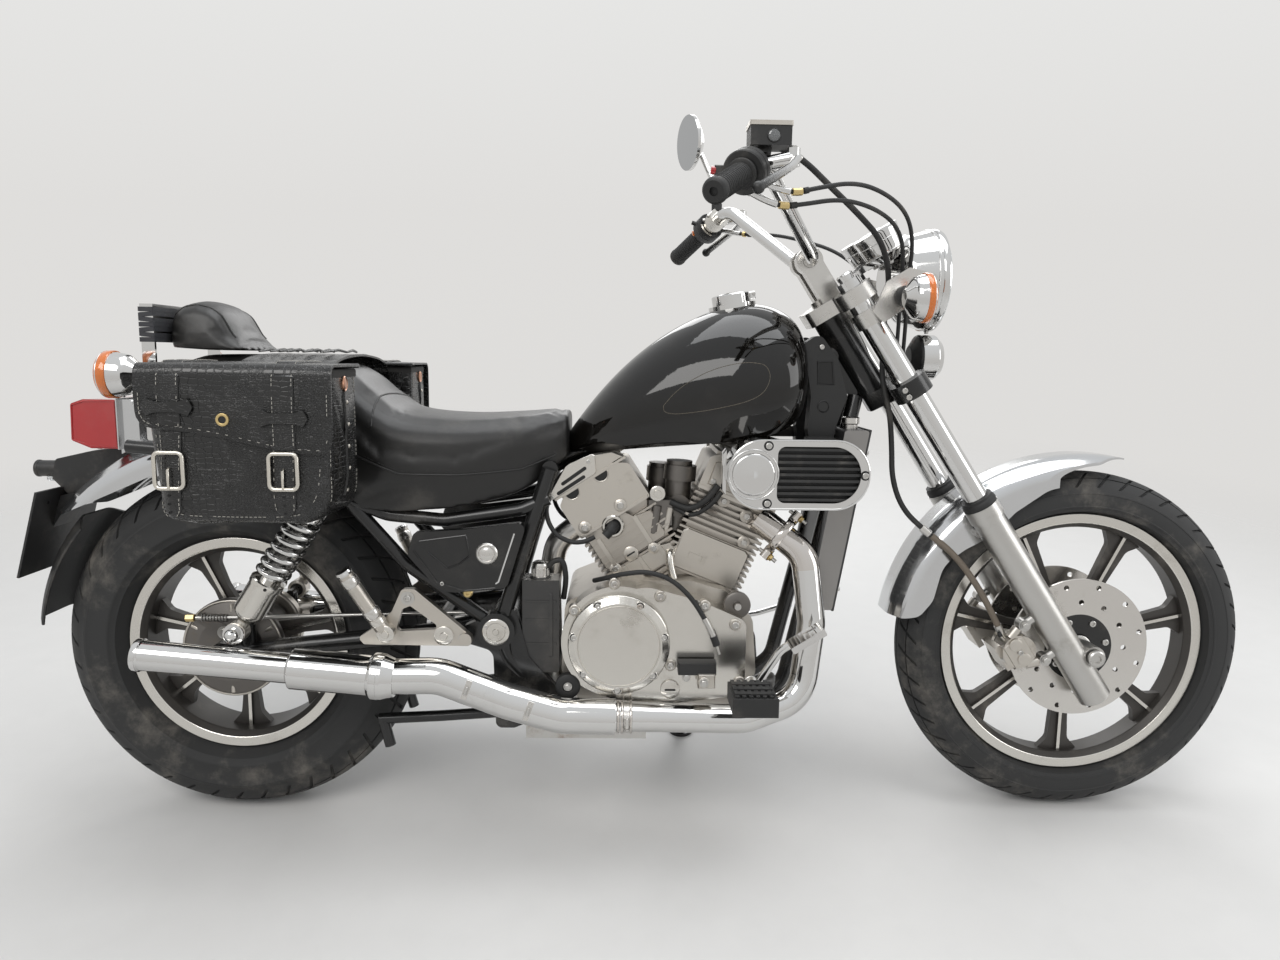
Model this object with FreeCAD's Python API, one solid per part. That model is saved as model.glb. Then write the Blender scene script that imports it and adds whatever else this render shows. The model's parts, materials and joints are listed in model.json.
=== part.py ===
"""A cruiser motorcycle with a V-twin engine and two saddlebags, leaning on its side stand.

Everything is drawn upright in the bike's own frame, in millimetres: X forward from the rear axle, Y to the
rider's left, Z up from the floor. The finished pieces are then leaned to the left onto the side stand and
shifted so that the origin is the middle of the parked machine's footprint, on the floor.
Front-end pieces are drawn in the fork frame: A forward of the steering axis, Y left, S up along that axis.
"""
import FreeCAD, Part
import math
import os

V = FreeCAD.Vector
Y_AXIS = V(0, 1, 0)

# Parking
LEAN = 9.0                      # degrees to the left
FOOTPRINT_X = 770.44             # the origin, measured in the leaned machine from the rear axle
FOOTPRINT_Y = 161.1
SEAT_GAP = 0.3                  # between pieces that rest on each other

# Wheels
WHEELBASE = 1580.0
REAR_TYRE_R, REAR_TYRE_CROWN, REAR_BEAD_R, REAR_BEAD_W = 325.0, 75.0, 190.0, 88.0
FRONT_TYRE_R, FRONT_TYRE_CROWN, FRONT_BEAD_R, FRONT_BEAD_W = 331.0, 50.0, 241.0, 52.0
FLANGE_RISE, FLANGE_W = 12.0, 6.0
SPOKES = 7
SPOKE_PHASE = -90.0
HUB_R_FRONT, HUB_W_FRONT = 34.0, 84.0
HUB_R_REAR, HUB_W_REAR = 60.0, 104.0
DISC_R, DISC_BORE_R, DISC_Y, DISC_T = 132.0, 60.0, -52.0, 5.0
DISC_HOLES, DISC_HOLE_R = 12, 5.0


def axle_height(tyre_r, crown_r):
    """Axle height at which a tyre of this crown radius touches the floor once the bike leans."""
    return tyre_r - crown_r + crown_r / math.cos(math.radians(LEAN))


REAR_Z = axle_height(REAR_TYRE_R, REAR_TYRE_CROWN)
FRONT_Z = axle_height(FRONT_TYRE_R, FRONT_TYRE_CROWN)

# Steering and fork, in the fork frame
RAKE = 33.5
TRAIL = 135.0
LOCK = 37.0                     # steering lock each way, degrees
LEG_A, LEG_Y = 40.0, 95.0
STANCHION_R, SLIDER_R = 21.5, 29.0
SLIDER_BOTTOM, SLIDER_TOP, STANCHION_TOP = 274.0, 704.0, 1176.0
LOWER_CLAMP_S, LOWER_CLAMP_T = 940.0, 32.0
TOP_CLAMP_S, TOP_CLAMP_T = 1132.0, 28.0
HEAD_TUBE_R, STEM_R = 30.0, 16.0
AXLE_R = 9.0

# Handlebar, in the bike frame at the rider's left
BAR_R = 12.7
BAR_KNEE, BAR_BEND, BAR_END = (1046, 66, 1042), (926, 232, 1172), (838, 400, 1096)
GRIP_R, GRIP_FROM = 17.0, 0.34  # the grip begins at this share of the last run

# Lamps
HEADLAMP_R, HEADLAMP_X, HEADLAMP_Z, HEADLAMP_DEPTH = 91.0, 1298.0, 1012.0, 112.0
SIGNAL_R, SIGNAL_DEPTH, FRONT_SIGNAL_DEPTH = 40.0, 66.0, 48.0
FRONT_SIGNAL = (1172.0, 188.0, 968.0)
EAR_Y = 118.0
REAR_SIGNAL = (-74.0, 188.0, 826.0)
HORN_R = 42.0

# Body work
FRONT_FENDER_R, FRONT_FENDER_HALF_W, FENDER_T = 366.0, 62.0, 3.0
REAR_FENDER_R, REAR_FENDER_HALF_W = 400.0, 88.0
MUDFLAP_R = 366.0
BAG_X, BAG_Z = (-8.0, 276.0), (602.0, 842.0)
BAG_IN, BAG_OUT, BAG_WALL = 192.0, 330.0, 4.0
BAG_ROUND = 22.0
LID_T, LID_GAP, LID_DROP, LID_OPEN = 5.0, 0.6, 112.0, 100.0
LID_HINGE_OUT, LID_ROLL_R = 6.0, 4.0  # the hinge stands this far inboard of the bag's inner wall

# Engine: the crankshaft, and the two cylinders of the V
CRANK_X, CRANK_Z = 835.0, 352.0
REAR_TILT, FRONT_TILT = -33.0, 22.0
CYL_HALF_W, CYL_HALF_Y = 76.0, 78.0
CLUTCH_X, CLUTCH_Z, CLUTCH_R = 709.0, 370.0, 89.0
PIVOT_X, PIVOT_Z = 491.0, 380.0

# Stands
STAND_PIVOT = (800.0, 112.0, 180.0)
STAND_AXIS_TILT = 30.0          # the side stand's pivot axis, raised from the lateral
STAND_FOOT = (850.0, 232.0)     # X and Y of the foot in the bike frame
STAND_FOLD = 97.0
CENTRE_STAND_PIVOT = (505.0, 88.0, 212.0)
CENTRE_STAND_DOWN = 98.0

TUBE_R = 14.0
EXHAUST_Y = 190.0

NODES = {}


# Shapes

def box(x0, x1, y0, y1, z0, z1):
    return Part.makeBox(x1 - x0, y1 - y0, z1 - z0, V(x0, y0, z0))


def rod(a, b, r):
    a, b = V(*a), V(*b)
    return Part.makeCylinder(r, (b - a).Length, a, b - a)


def cone(a, b, ra, rb):
    a, b = V(*a), V(*b)
    return Part.makeCone(ra, rb, (b - a).Length, a, b - a)


def across(x, z, r, y0, y1):
    """A round bar along Y."""
    return rod((x, y0, z), (x, y1, z), r)


def rounded_wire(points, radii, closed=True):
    """Straight runs joined by tangent arcs: points are vectors, radii one per point."""
    n = len(points)
    cuts = []
    for i, p in enumerate(points):
        if not closed and i in (0, n - 1):
            cuts.append((p, None, p))
            continue
        back, ahead = points[i - 1] - p, points[(i + 1) % n] - p
        turn = back.getAngle(ahead)
        if radii[i] < 0.01 or math.pi - turn < 1e-4:
            cuts.append((p, None, p))
            continue
        reach = min(radii[i] / math.tan(turn / 2), 0.49 * back.Length, 0.49 * ahead.Length)
        start = p + V(back).normalize() * reach
        end = p + V(ahead).normalize() * reach
        radius = reach * math.tan(turn / 2)
        middle = V(back).normalize() + V(ahead).normalize()
        centre = p + middle.normalize() * (radius / math.sin(turn / 2))
        cuts.append((start, centre + (p - centre).normalize() * radius, end))
    edges = []
    for i in range(n if closed else n - 1):
        start, middle, end = cuts[i]
        if middle is not None:
            edges.append(Part.Arc(start, middle, end).toShape())
        following = cuts[(i + 1) % n][0]
        if (following - end).Length > 1e-4:
            edges.append(Part.LineSegment(end, following).toShape())
    return Part.Wire(edges)


def side_plate(outline, y0, y1):
    """A plate whose (x, z, corner radius) outline is seen from the side, from y0 to y1."""
    wire = rounded_wire([V(x, y0, z) for x, z, _ in outline], [r for _, _, r in outline])
    return Part.Face(wire).extrude(V(0, y1 - y0, 0))


def top_plate(outline, z0, z1):
    """A plate whose (x, y, corner radius) outline is seen from above, from z0 to z1."""
    wire = rounded_wire([V(x, y, z0) for x, y, _ in outline], [r for _, _, r in outline])
    return Part.Face(wire).extrude(V(0, 0, z1 - z0))


def end_plate(outline, x0, x1):
    """A plate whose (y, z, corner radius) outline is seen from the end, from x0 to x1."""
    wire = rounded_wire([V(x0, y, z) for y, z, _ in outline], [r for _, _, r in outline])
    return Part.Face(wire).extrude(V(x1 - x0, 0, 0))


def bar(points, r, bend):
    """A round bar along straight runs joined by arcs of radius bend."""
    points = [V(*p) for p in points]
    path = rounded_wire(points, [bend] * len(points), closed=False)
    face = Part.Face(Part.Wire(Part.makeCircle(r, points[0], points[1] - points[0])))
    return path.makePipe(face)


def turned(outline, centre, axis, radial, start=0.0, sweep=360.0):
    """Turns an outline of (along the axis, distance from it, corner radius) about the axis.
    radial is the direction of the outline's distance at angle zero."""
    centre, axis, radial = V(*centre), V(*axis).normalize(), V(*radial).normalize()
    radial = FreeCAD.Rotation(axis, start).multVec(radial)
    points = [centre + axis * u + radial * d for u, d, _ in outline]
    face = Part.Face(rounded_wire(points, [r for _, _, r in outline]))
    return face.revolve(centre, axis, sweep)


def loft(wires, ruled=False):
    return Part.makeLoft(wires, True, ruled)


def fuse(*shapes):
    shapes = [s for s in shapes]
    return shapes[0].multiFuse(shapes[1:]).removeSplitter() if len(shapes) > 1 else shapes[0]


def compound(*shapes):
    return Part.makeCompound([solid for shape in shapes for solid in shape.Solids])


def trim(name, *others):
    """Ends each solid of a piece against its neighbours, keeping the larger part of it."""
    cutters = compound(*[NODES[other] for other in others])
    kept = [max(solid.cut(cutters).Solids, key=lambda s: s.Volume) for solid in NODES[name].Solids]
    NODES[name] = compound(*kept) if len(kept) > 1 else kept[0]


def mirrored(shape):
    """The same piece on the other side of the bike."""
    return shape.mirror(V(0, 0, 0), Y_AXIS)


def swung(shape, x, z, degrees):
    """Turned about a lateral axis at x, z; positive tips the top forward."""
    shape = shape.copy()
    shape.rotate(V(x, 0, z), Y_AXIS, degrees)
    return shape


FORK = FreeCAD.Placement(V(WHEELBASE + TRAIL, 0, 0), FreeCAD.Rotation(Y_AXIS, -RAKE))


def in_fork(shape):
    """Moves a piece drawn in the fork frame to the bike frame."""
    shape = shape.copy()
    shape.Placement = FORK.multiply(shape.Placement)
    return shape


def fork_point(a, y, s):
    return FORK.multVec(V(a, y, s))


def fork_coordinates(x, z):
    p = FORK.inverse().multVec(V(x, 0, z))
    return p.x, p.z


AXLE_A, AXLE_S = fork_coordinates(WHEELBASE, FRONT_Z)


def add(name, shape):
    NODES[name] = shape


def add_pair(name, shape):
    """A piece on the left side and its mirror image on the right."""
    add(name, compound(shape, mirrored(shape)))


# Wheels

def tyre(x, z, tyre_r, crown_r, bead_r, bead_w):
    """A tyre whose tread is an arc of the crown radius, on straight sidewalls down to its beads."""
    ring_r = tyre_r - crown_r
    half = bead_w / 2 - SEAT_GAP
    flange_top = bead_r + FLANGE_RISE + 1.5
    lowest = math.radians(-25)
    side_y, side_r = crown_r * math.cos(lowest), ring_r + crown_r * math.sin(lowest)
    foot = bead_r + SEAT_GAP

    def at(y, r):
        return V(x, y, z + r)
    tread = Part.Arc(at(-side_y, side_r), at(0, tyre_r), at(side_y, side_r)).toShape()
    edges = [tread] + [Part.LineSegment(a, b).toShape() for a, b in (
        (at(side_y, side_r), at(half, flange_top)), (at(half, flange_top), at(half, foot)), (at(half, foot), at(-half, foot)),
        (at(-half, foot), at(-half, flange_top)), (at(-half, flange_top), at(-side_y, side_r)))]
    return Part.Face(Part.Wire(edges)).revolve(V(x, 0, z), Y_AXIS, 360)


def rim(x, z, bead_r, bead_w, hub_r, hub_w, blade_w, blade_t):
    """A cast wheel: a channel rim with two flanges, a hub bored for its axle, and ribbed blade spokes."""
    half, flange = bead_w / 2, bead_w / 2 + FLANGE_W
    well = bead_r - 16
    outline = [(-flange, bead_r + FLANGE_RISE, 2), (-half, bead_r + FLANGE_RISE, 2), (-half, bead_r, 0),
               (half, bead_r, 0), (half, bead_r + FLANGE_RISE, 2), (flange, bead_r + FLANGE_RISE, 2),
               (flange, bead_r - 6, 3), (half - 6, well, 4), (6 - half, well, 4), (-flange, bead_r - 6, 3)]
    body = turned(outline, (x, 0, z), (0, 1, 0), (0, 0, 1))
    hub = across(x, z, hub_r, -hub_w / 2, hub_w / 2)
    tip = well + 3
    pieces = [body, hub]
    for k in range(SPOKES):
        blade = side_plate([(x + hub_r - 8, z - blade_w * 0.5, 2), (x + (hub_r + tip) * 0.45, z - blade_w * 0.38, 30),
                            (x + tip - 26, z - blade_w * 0.52, 18), (x + tip, z - blade_w * 1.15, 0),
                            (x + tip, z + blade_w * 1.15, 0), (x + tip - 26, z + blade_w * 0.52, 18),
                            (x + (hub_r + tip) * 0.45, z + blade_w * 0.38, 30), (x + hub_r - 8, z + blade_w * 0.5, 2)],
                           -blade_t / 2, blade_t / 2)
        rib = box(x + hub_r - 8, x + tip, -blade_t / 2 - 6, blade_t / 2 + 6, z - 3, z + 3)
        for piece in (blade, rib):
            piece.rotate(V(x, 0, z), Y_AXIS, -(SPOKE_PHASE + 360.0 / SPOKES * k))
            pieces.append(piece)
    bore = across(x, z, AXLE_R + SEAT_GAP, -hub_w, hub_w)
    return fuse(*pieces).cut(bore)


def build_wheels():
    add("front_tyre", tyre(WHEELBASE, FRONT_Z, FRONT_TYRE_R, FRONT_TYRE_CROWN, FRONT_BEAD_R, FRONT_BEAD_W))
    add("rear_tyre", tyre(0, REAR_Z, REAR_TYRE_R, REAR_TYRE_CROWN, REAR_BEAD_R, REAR_BEAD_W))
    add("front_rim", rim(WHEELBASE, FRONT_Z, FRONT_BEAD_R, FRONT_BEAD_W, HUB_R_FRONT, HUB_W_FRONT, 38, 14))
    add("rear_rim", rim(0, REAR_Z, REAR_BEAD_R, REAR_BEAD_W, HUB_R_REAR, HUB_W_REAR, 36, 16))
    disc = across(WHEELBASE, FRONT_Z, DISC_R, DISC_Y - DISC_T, DISC_Y)
    carrier_seat = -HUB_W_FRONT / 2 - SEAT_GAP
    carrier = across(WHEELBASE, FRONT_Z, DISC_BORE_R + 4, DISC_Y - DISC_T, carrier_seat)
    disc = disc.fuse(carrier).cut(across(WHEELBASE, FRONT_Z, HUB_R_FRONT - 8, DISC_Y - 20, DISC_Y + 20))
    for row, share in enumerate((0.66, 0.90)):
        for k in range(DISC_HOLES):
            angle = math.radians(360.0 / DISC_HOLES * (k + 0.5 * row))
            disc = disc.cut(across(WHEELBASE + DISC_R * share * math.cos(angle), FRONT_Z + DISC_R * share * math.sin(angle),
                                   DISC_HOLE_R, DISC_Y - 20, DISC_Y + 20))
    add("brake_discs", compound(disc, mirrored(disc)))


# Fork and steering

def build_fork():
    stanchions, sliders = [], []
    for y in (LEG_Y, -LEG_Y):
        out = 1 if y > 0 else -1
        stanchion = rod((LEG_A, y, SLIDER_TOP + SEAT_GAP), (LEG_A, y, STANCHION_TOP), STANCHION_R)
        seal = rod((LEG_A, y, SLIDER_TOP + SEAT_GAP), (LEG_A, y, SLIDER_TOP + 16), SLIDER_R - 1)
        cap = rod((LEG_A, y, STANCHION_TOP - 1), (LEG_A, y, STANCHION_TOP + 6), 14)
        stanchions.append(in_fork(fuse(stanchion, seal, cap)))
        slider = rod((LEG_A, y, SLIDER_BOTTOM), (LEG_A, y, SLIDER_TOP), SLIDER_R)
        collar = rod((LEG_A, y, SLIDER_TOP - 26), (LEG_A, y, SLIDER_TOP), SLIDER_R + 2.5)
        foot = rod((LEG_A, y, SLIDER_BOTTOM - 5), (LEG_A, y, SLIDER_BOTTOM + 1), SLIDER_R - 5)
        boss_in, boss_out = sorted((y - out * 24, y + out * 22))
        lug = box(LEG_A, AXLE_A, boss_in, boss_out, AXLE_S - 17, AXLE_S + 17)
        boss = across(AXLE_A, AXLE_S, 20, boss_in, boss_out)
        fender_boss = rod((LEG_A - 20, y - out * 20, 650), (LEG_A - 20, y - out * (LEG_Y - FRONT_FENDER_HALF_W - SEAT_GAP), 650), 9)
        upper_boss = rod((LEG_A + 20, y - out * 20, 680), (LEG_A + 20, y - out * (LEG_Y - FRONT_FENDER_HALF_W - SEAT_GAP), 680), 9)
        pieces = [slider, collar, foot, lug, boss, fender_boss, upper_boss]
        for s in (470, 392):
            pieces.append(rod((LEG_A - 46, y + out * 4, s), (LEG_A - 18, y + out * 4, s), 9))
            pieces.append(rod((LEG_A - 46, y - out * 6, s), (LEG_A - 46, y + out * 14, s), 11))
        bore = across(AXLE_A, AXLE_S, AXLE_R + SEAT_GAP, boss_in - 5, boss_out + 5)
        recess = across(AXLE_A, AXLE_S, 17, *sorted((y + out * 22, y + out * 40)))
        sliders.append(in_fork(fuse(*pieces).cut(bore).cut(recess)))
    add("fork_stanchions", compound(*stanchions))
    add("fork_sliders", compound(*sliders))
    axle = across(AXLE_A, AXLE_S, AXLE_R, -LEG_Y - 26, LEG_Y + 26)
    nut = across(AXLE_A, AXLE_S, 15, LEG_Y + 22 + SEAT_GAP, LEG_Y + 34)
    add("front_axle", in_fork(fuse(axle, nut)))

    def clamp(s, t, rear, rear_half_w, front):
        """A clamp bridge round both fork legs; it reaches back round the stem over rear_half_w each side."""
        half = [(-rear, rear_half_w), (LEG_A - 26, rear_half_w + 26), (LEG_A - 26, LEG_Y), (LEG_A + 30, LEG_Y),
                (LEG_A + 22, LEG_Y - 34), (front, 30)]
        outline = [(a, y, 12 if y < LEG_Y else 0) for a, y in half]
        outline += [(a, -y, r) for a, y, r in reversed(outline)]
        plate = top_plate(outline, s, s + t)
        pieces = [plate]
        for y in (LEG_Y, -LEG_Y):
            pieces.append(rod((LEG_A, y, s), (LEG_A, y, s + t), STANCHION_R + 13))
        body = fuse(*pieces)
        for y in (LEG_Y, -LEG_Y):
            body = body.cut(rod((LEG_A, y, s - 5), (LEG_A, y, s + t + 5), STANCHION_R + SEAT_GAP))
        return body

    lower = clamp(LOWER_CLAMP_S, LOWER_CLAMP_T, 24, 16, 44)
    stem = rod((0, 0, LOWER_CLAMP_S), (0, 0, TOP_CLAMP_S - SEAT_GAP), STEM_R)
    add("lower_fork_clamp_and_stem", in_fork(fuse(lower, stem)))
    top = clamp(TOP_CLAMP_S, TOP_CLAMP_T, 40, 34, 46)
    stem_nut = rod((0, 0, TOP_CLAMP_S + TOP_CLAMP_T - 1), (0, 0, TOP_CLAMP_S + TOP_CLAMP_T + 9), 15)
    add("top_fork_clamp", in_fork(fuse(top, stem_nut)))


def bar_points(side):
    """The handlebar's route from its clamp to one end; side is 1 for the rider's left."""
    return [(x, y * side, z) for x, y, z in (BAR_KNEE, BAR_BEND, BAR_END)]


def along_grip(side, share):
    """A point on the handlebar's last run, at a share of its length from the bend."""
    _, bend, end = bar_points(side)
    return tuple(p + (q - p) * share for p, q in zip(bend, end))


def build_handlebar():
    left, right = bar_points(1), bar_points(-1)
    add("handlebar", bar(right[::-1] + left, BAR_R, 62))
    pieces = []
    base_a, base_s = fork_coordinates(BAR_KNEE[0], BAR_KNEE[2])
    seat_s = TOP_CLAMP_S + TOP_CLAMP_T + SEAT_GAP
    for side in (1, -1):
        y0, y1 = sorted((side * 12, side * 36))
        riser = box(base_a - 20, base_a + 20, y0, y1, seat_s, base_s + 16)
        top = across(base_a, base_s, 24, y0, y1)
        hole = across(base_a, base_s, BAR_R + SEAT_GAP, y0 - 5, y1 + 5)
        pieces.append(in_fork(fuse(riser, top)).cut(in_fork(hole)))
    add("top_fork_clamp", compound(NODES["top_fork_clamp"], *pieces))

    def sleeve(side, share0, share1, r):
        tube = rod(along_grip(side, share0), along_grip(side, share1), r)
        return tube.cut(rod(along_grip(side, share0 - 0.1), along_grip(side, share1 + 0.1), BAR_R + SEAT_GAP))

    grips, controls = [], []
    for side in (1, -1):
        grip = rod(along_grip(side, GRIP_FROM + 0.14), along_grip(side, 1.03), GRIP_R)
        grip = grip.cut(rod(along_grip(side, GRIP_FROM), along_grip(side, 1.0), BAR_R + SEAT_GAP))
        grips.append(grip)
        housing = sleeve(side, GRIP_FROM - 0.02, GRIP_FROM + 0.13, 31 if side < 0 else 27)
        perch = sleeve(side, 0.16, GRIP_FROM - 0.03, 21)
        perch_centre = V(*along_grip(side, 0.22))
        forward = V(56, side * 20, 8)
        arm = rod(tuple(perch_centre + forward * 0.36), tuple(perch_centre + forward), 11)
        pivot = rod(tuple(perch_centre + forward + V(0, 0, -12)), tuple(perch_centre + forward + V(0, 0, 14)), 10)
        tip = V(*along_grip(side, 0.92)) + V(52, 0, 0)
        lever_start = perch_centre + forward + V(6, 0, 1)
        lever = bar([tuple(lever_start), tuple(lever_start + (tip - lever_start) * 0.3 + V(8, 0, 0)), tuple(tip)], 6.5, 50)
        ball = Part.makeSphere(9, tip)
        controls += [housing, fuse(perch, arm, pivot, lever, ball)]
        if side < 0:
            tank_centre = perch_centre + V(22, 4, 44)
            tank = Part.makeBox(62, 46, 34, tank_centre - V(31, 23, 17))
            neck = rod(tuple(perch_centre + V(14, 2, 17)), tuple(tank_centre - V(6, 0, 16)), 11)
            boss = rod(tuple(tank_centre + V(-12, 38, -10)), tuple(tank_centre + V(-12, 38, 12)), 9)
            boss_arm = box(tank_centre.x - 20, tank_centre.x - 4, tank_centre.y + 22, tank_centre.y + 40,
                           tank_centre.z - 10, tank_centre.z + 8)
            hole = rod(tuple(tank_centre + V(-12, 38, 0)), tuple(tank_centre + V(-12, 38, 20)), MIRROR_HOLE_R)
            add("brake_reservoir", fuse(tank, neck, boss, boss_arm).cut(hole))
    add("grips", compound(*grips))
    add("hand_controls", compound(*controls))


MIRROR_HOLE_R = 4.4
MIRROR_R, MIRROR_CENTRE = 57.0, (846.0, 330.0, 1326.0)


def mirror_boss():
    """Where the brake reservoir's empty mirror hole opens, in the bike frame."""
    return V(*along_grip(-1, 0.22)) + V(22, 4, 44) + V(-12, 38, 12)


def build_mirror():
    centre = V(*MIRROR_CENTRE)
    facing = V(-0.93, -0.33, -0.05).normalize()
    outline = [(0, 0, 0), (0, MIRROR_R, 0), (-8, MIRROR_R, 3), (-26, MIRROR_R * 0.5, 6), (-32, 0, 0)]
    radial = facing.cross(V(0, 0, 1))
    bowl = turned(outline, tuple(centre), tuple(facing), tuple(radial))
    foot = V(*along_grip(1, 0.24)) + V(2, 0, 22)
    stem = bar([tuple(foot), tuple(foot + V(0, 2, 40)), tuple(centre - facing * 24 + V(8, 0, -22)),
                tuple(centre - facing * 22)], 5.5, 30)
    seat = rod(tuple(foot), tuple(foot + V(0, 0, 14)), 11)
    add("left_mirror", fuse(bowl, stem, seat))


def lamp(back, r, depth, facing, y):
    """A round lamp shell with a domed lens; back is the shell's rear point, facing 1 for forward."""
    x, _, z = back
    outline = [(0, 0, 0), (0, r * 0.34, 4), (depth * 0.3, r * 0.86, 16), (depth * 0.72, r, 4), (depth * 0.84, r, 1), (depth * 0.84, 0, 0)]
    shell = turned(outline, (x, y, z), (facing, 0, 0), (0, 0, 1))
    face = depth * 0.84 + SEAT_GAP
    lens = turned([(face, 0, 0), (face, r * 0.94, 1), (depth * 0.92, r * 0.9, 3), (depth, r * 0.45, 8), (depth, 0, 0)],
                  (x, y, z), (facing, 0, 0), (0, 0, 1))
    return shell, lens


def build_front_lamps():
    back = (HEADLAMP_X - HEADLAMP_DEPTH, 0, HEADLAMP_Z)
    shell, lens = lamp(back, HEADLAMP_R, HEADLAMP_DEPTH, 1, 0)
    add("headlamp", compound(shell, lens))
    ears, signals = [], []
    for side in (1, -1):
        y0, y1 = sorted((side * EAR_Y, side * (EAR_Y + 4)))
        ear = side_plate([(1162, 1000, 4), (1200, 1024, 4), (1252, 1012, 14), (1252, 984, 14), (1206, 962, 6), (1160, 930, 4),
                          (1140, 948, 4)], y0, y1)
        hold = across(1236, 998, 7, *sorted((side * 70, side * (EAR_Y + 2))))
        wrap_s = TOP_CLAMP_S - 30
        ring = rod((LEG_A, side * LEG_Y, wrap_s - 14), (LEG_A, side * LEG_Y, wrap_s + 14), STANCHION_R + 5)
        ring = ring.cut(rod((LEG_A, side * LEG_Y, wrap_s - 20), (LEG_A, side * LEG_Y, wrap_s + 20), STANCHION_R + SEAT_GAP))
        ears.append(fuse(ear, hold, in_fork(ring)))
        x, y, z = FRONT_SIGNAL
        shell, lens = lamp((x, 0, z), SIGNAL_R, FRONT_SIGNAL_DEPTH, 1, side * y)
        stalk = rod((x + 22, side * (EAR_Y + 4 + SEAT_GAP), z + 8), (x + 22, side * (y - 20), z + 2), 8)
        signals += [fuse(shell, stalk), lens]
    add("front_signals", compound(*signals))
    clamp_front = fork_point(46, 0, LOWER_CLAMP_S + LOWER_CLAMP_T / 2)
    horn = turned([(0, 0, 0), (0, 20, 3), (14, HORN_R, 8), (46, HORN_R, 5), (58, HORN_R - 12, 4), (58, 0, 0)],
                  (1244, 0, 872), (1, 0, 0), (0, 0, 1))
    bracket = side_plate([(clamp_front.x + 1, clamp_front.z - 8, 2), (1262, 838, 3), (1262, 846, 3),
                          (clamp_front.x + 1, clamp_front.z + 8, 2)], -12, 12)
    add("lamp_brackets_and_horn", compound(*ears, fuse(horn, bracket)))
    trim("lamp_brackets_and_horn", "headlamp")


GAUGE_R, GAUGE_Y, GAUGE_CENTRE, GAUGE_TILT = 41.0, 46.0, (1160.0, 1086.0), 58.0


def build_instruments():
    x, z = GAUGE_CENTRE
    lean = math.radians(GAUGE_TILT)
    face = (-math.cos(lean), 0, math.sin(lean))
    outline = [(-52, 0, 0), (-52, 16, 4), (-34, GAUGE_R - 4, 10), (0, GAUGE_R, 3), (4, GAUGE_R, 1), (4, 0, 0)]
    pods = [turned(outline, (x, side * GAUGE_Y, z), face, (0, 1, 0)) for side in (1, -1)]
    cap = TOP_CLAMP_S + TOP_CLAMP_T + SEAT_GAP
    seat = fork_point(20, 0, cap)
    bridge = side_plate([(seat.x - 4, seat.z + 3, 0), (seat.x + 22, seat.z + 20, 0), (x + 26, z - 36, 4), (x + 12, z - 26, 4)], -30, 30)
    add("instruments", fuse(*pods, bridge))


def fender_ring(x, z, r, half_w, depth, start, end):
    """A fender: an arched crown with side skirts, turned about the axle from one angle to another."""
    crown = half_w * 0.55
    outer = [(-half_w, r - depth, 0), (-half_w, r - 26, 26), (-crown, r, 40), (crown, r, 40), (half_w, r - 26, 26), (half_w, r - depth, 0)]
    inner = [(u - math.copysign(FENDER_T, u), d - (FENDER_T if d > r - depth + 1 else 0), c) for u, d, c in reversed(outer)]
    return turned(outer + inner, (x, 0, z), (0, -1, 0), (1, 0, 0), start, end - start)


def build_fenders():
    ring = fender_ring(WHEELBASE, FRONT_Z, FRONT_FENDER_R, FRONT_FENDER_HALF_W, 102, 76, 171)
    keep = side_plate([(1180, 372, 0), (1216, 382, 10), (1272, 390, 24), (1296, 420, 40), (1312, 490, 60), (1352, 520, 50), (1400, 546, 40),
                       (1440, 590, 50), (1499, 632, 50), (1566, 646, 30), (1668, 668, 0), (1690, 760, 0), (1180, 760, 0)], -90, 90)
    nose = top_plate([(1180, -66, 0), (1470, -66, 60), (1600, -48, 60), (1664, -16, 15), (1664, 16, 15), (1600, 48, 60), (1470, 66, 60),
                      (1180, 66, 0)], 300, 800)
    add("front_fender", ring.common(keep).common(nose))
    ring = fender_ring(0, REAR_Z, REAR_FENDER_R, REAR_FENDER_HALF_W, 84, 50, 144.5)
    keep = side_plate([(-420, 580, 0), (-292, 572, 10), (-226, 600, 60), (-127, 644, 60), (0, 668, 60), (140, 640, 60),
                       (300, 560, 0), (420, 900, 0), (-420, 900, 0)], -120, 120)
    add("rear_fender", ring.common(keep))
    add("rear_mudflap", fender_ring(0, REAR_Z, MUDFLAP_R, REAR_FENDER_HALF_W - FENDER_T - SEAT_GAP, 30, 139, 172.5))


# Chassis

RAIL_Y = 116.0
PLATE_IN = RAIL_Y - 9
FRAME_CROSS = (584.0, 668.0)


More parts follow.
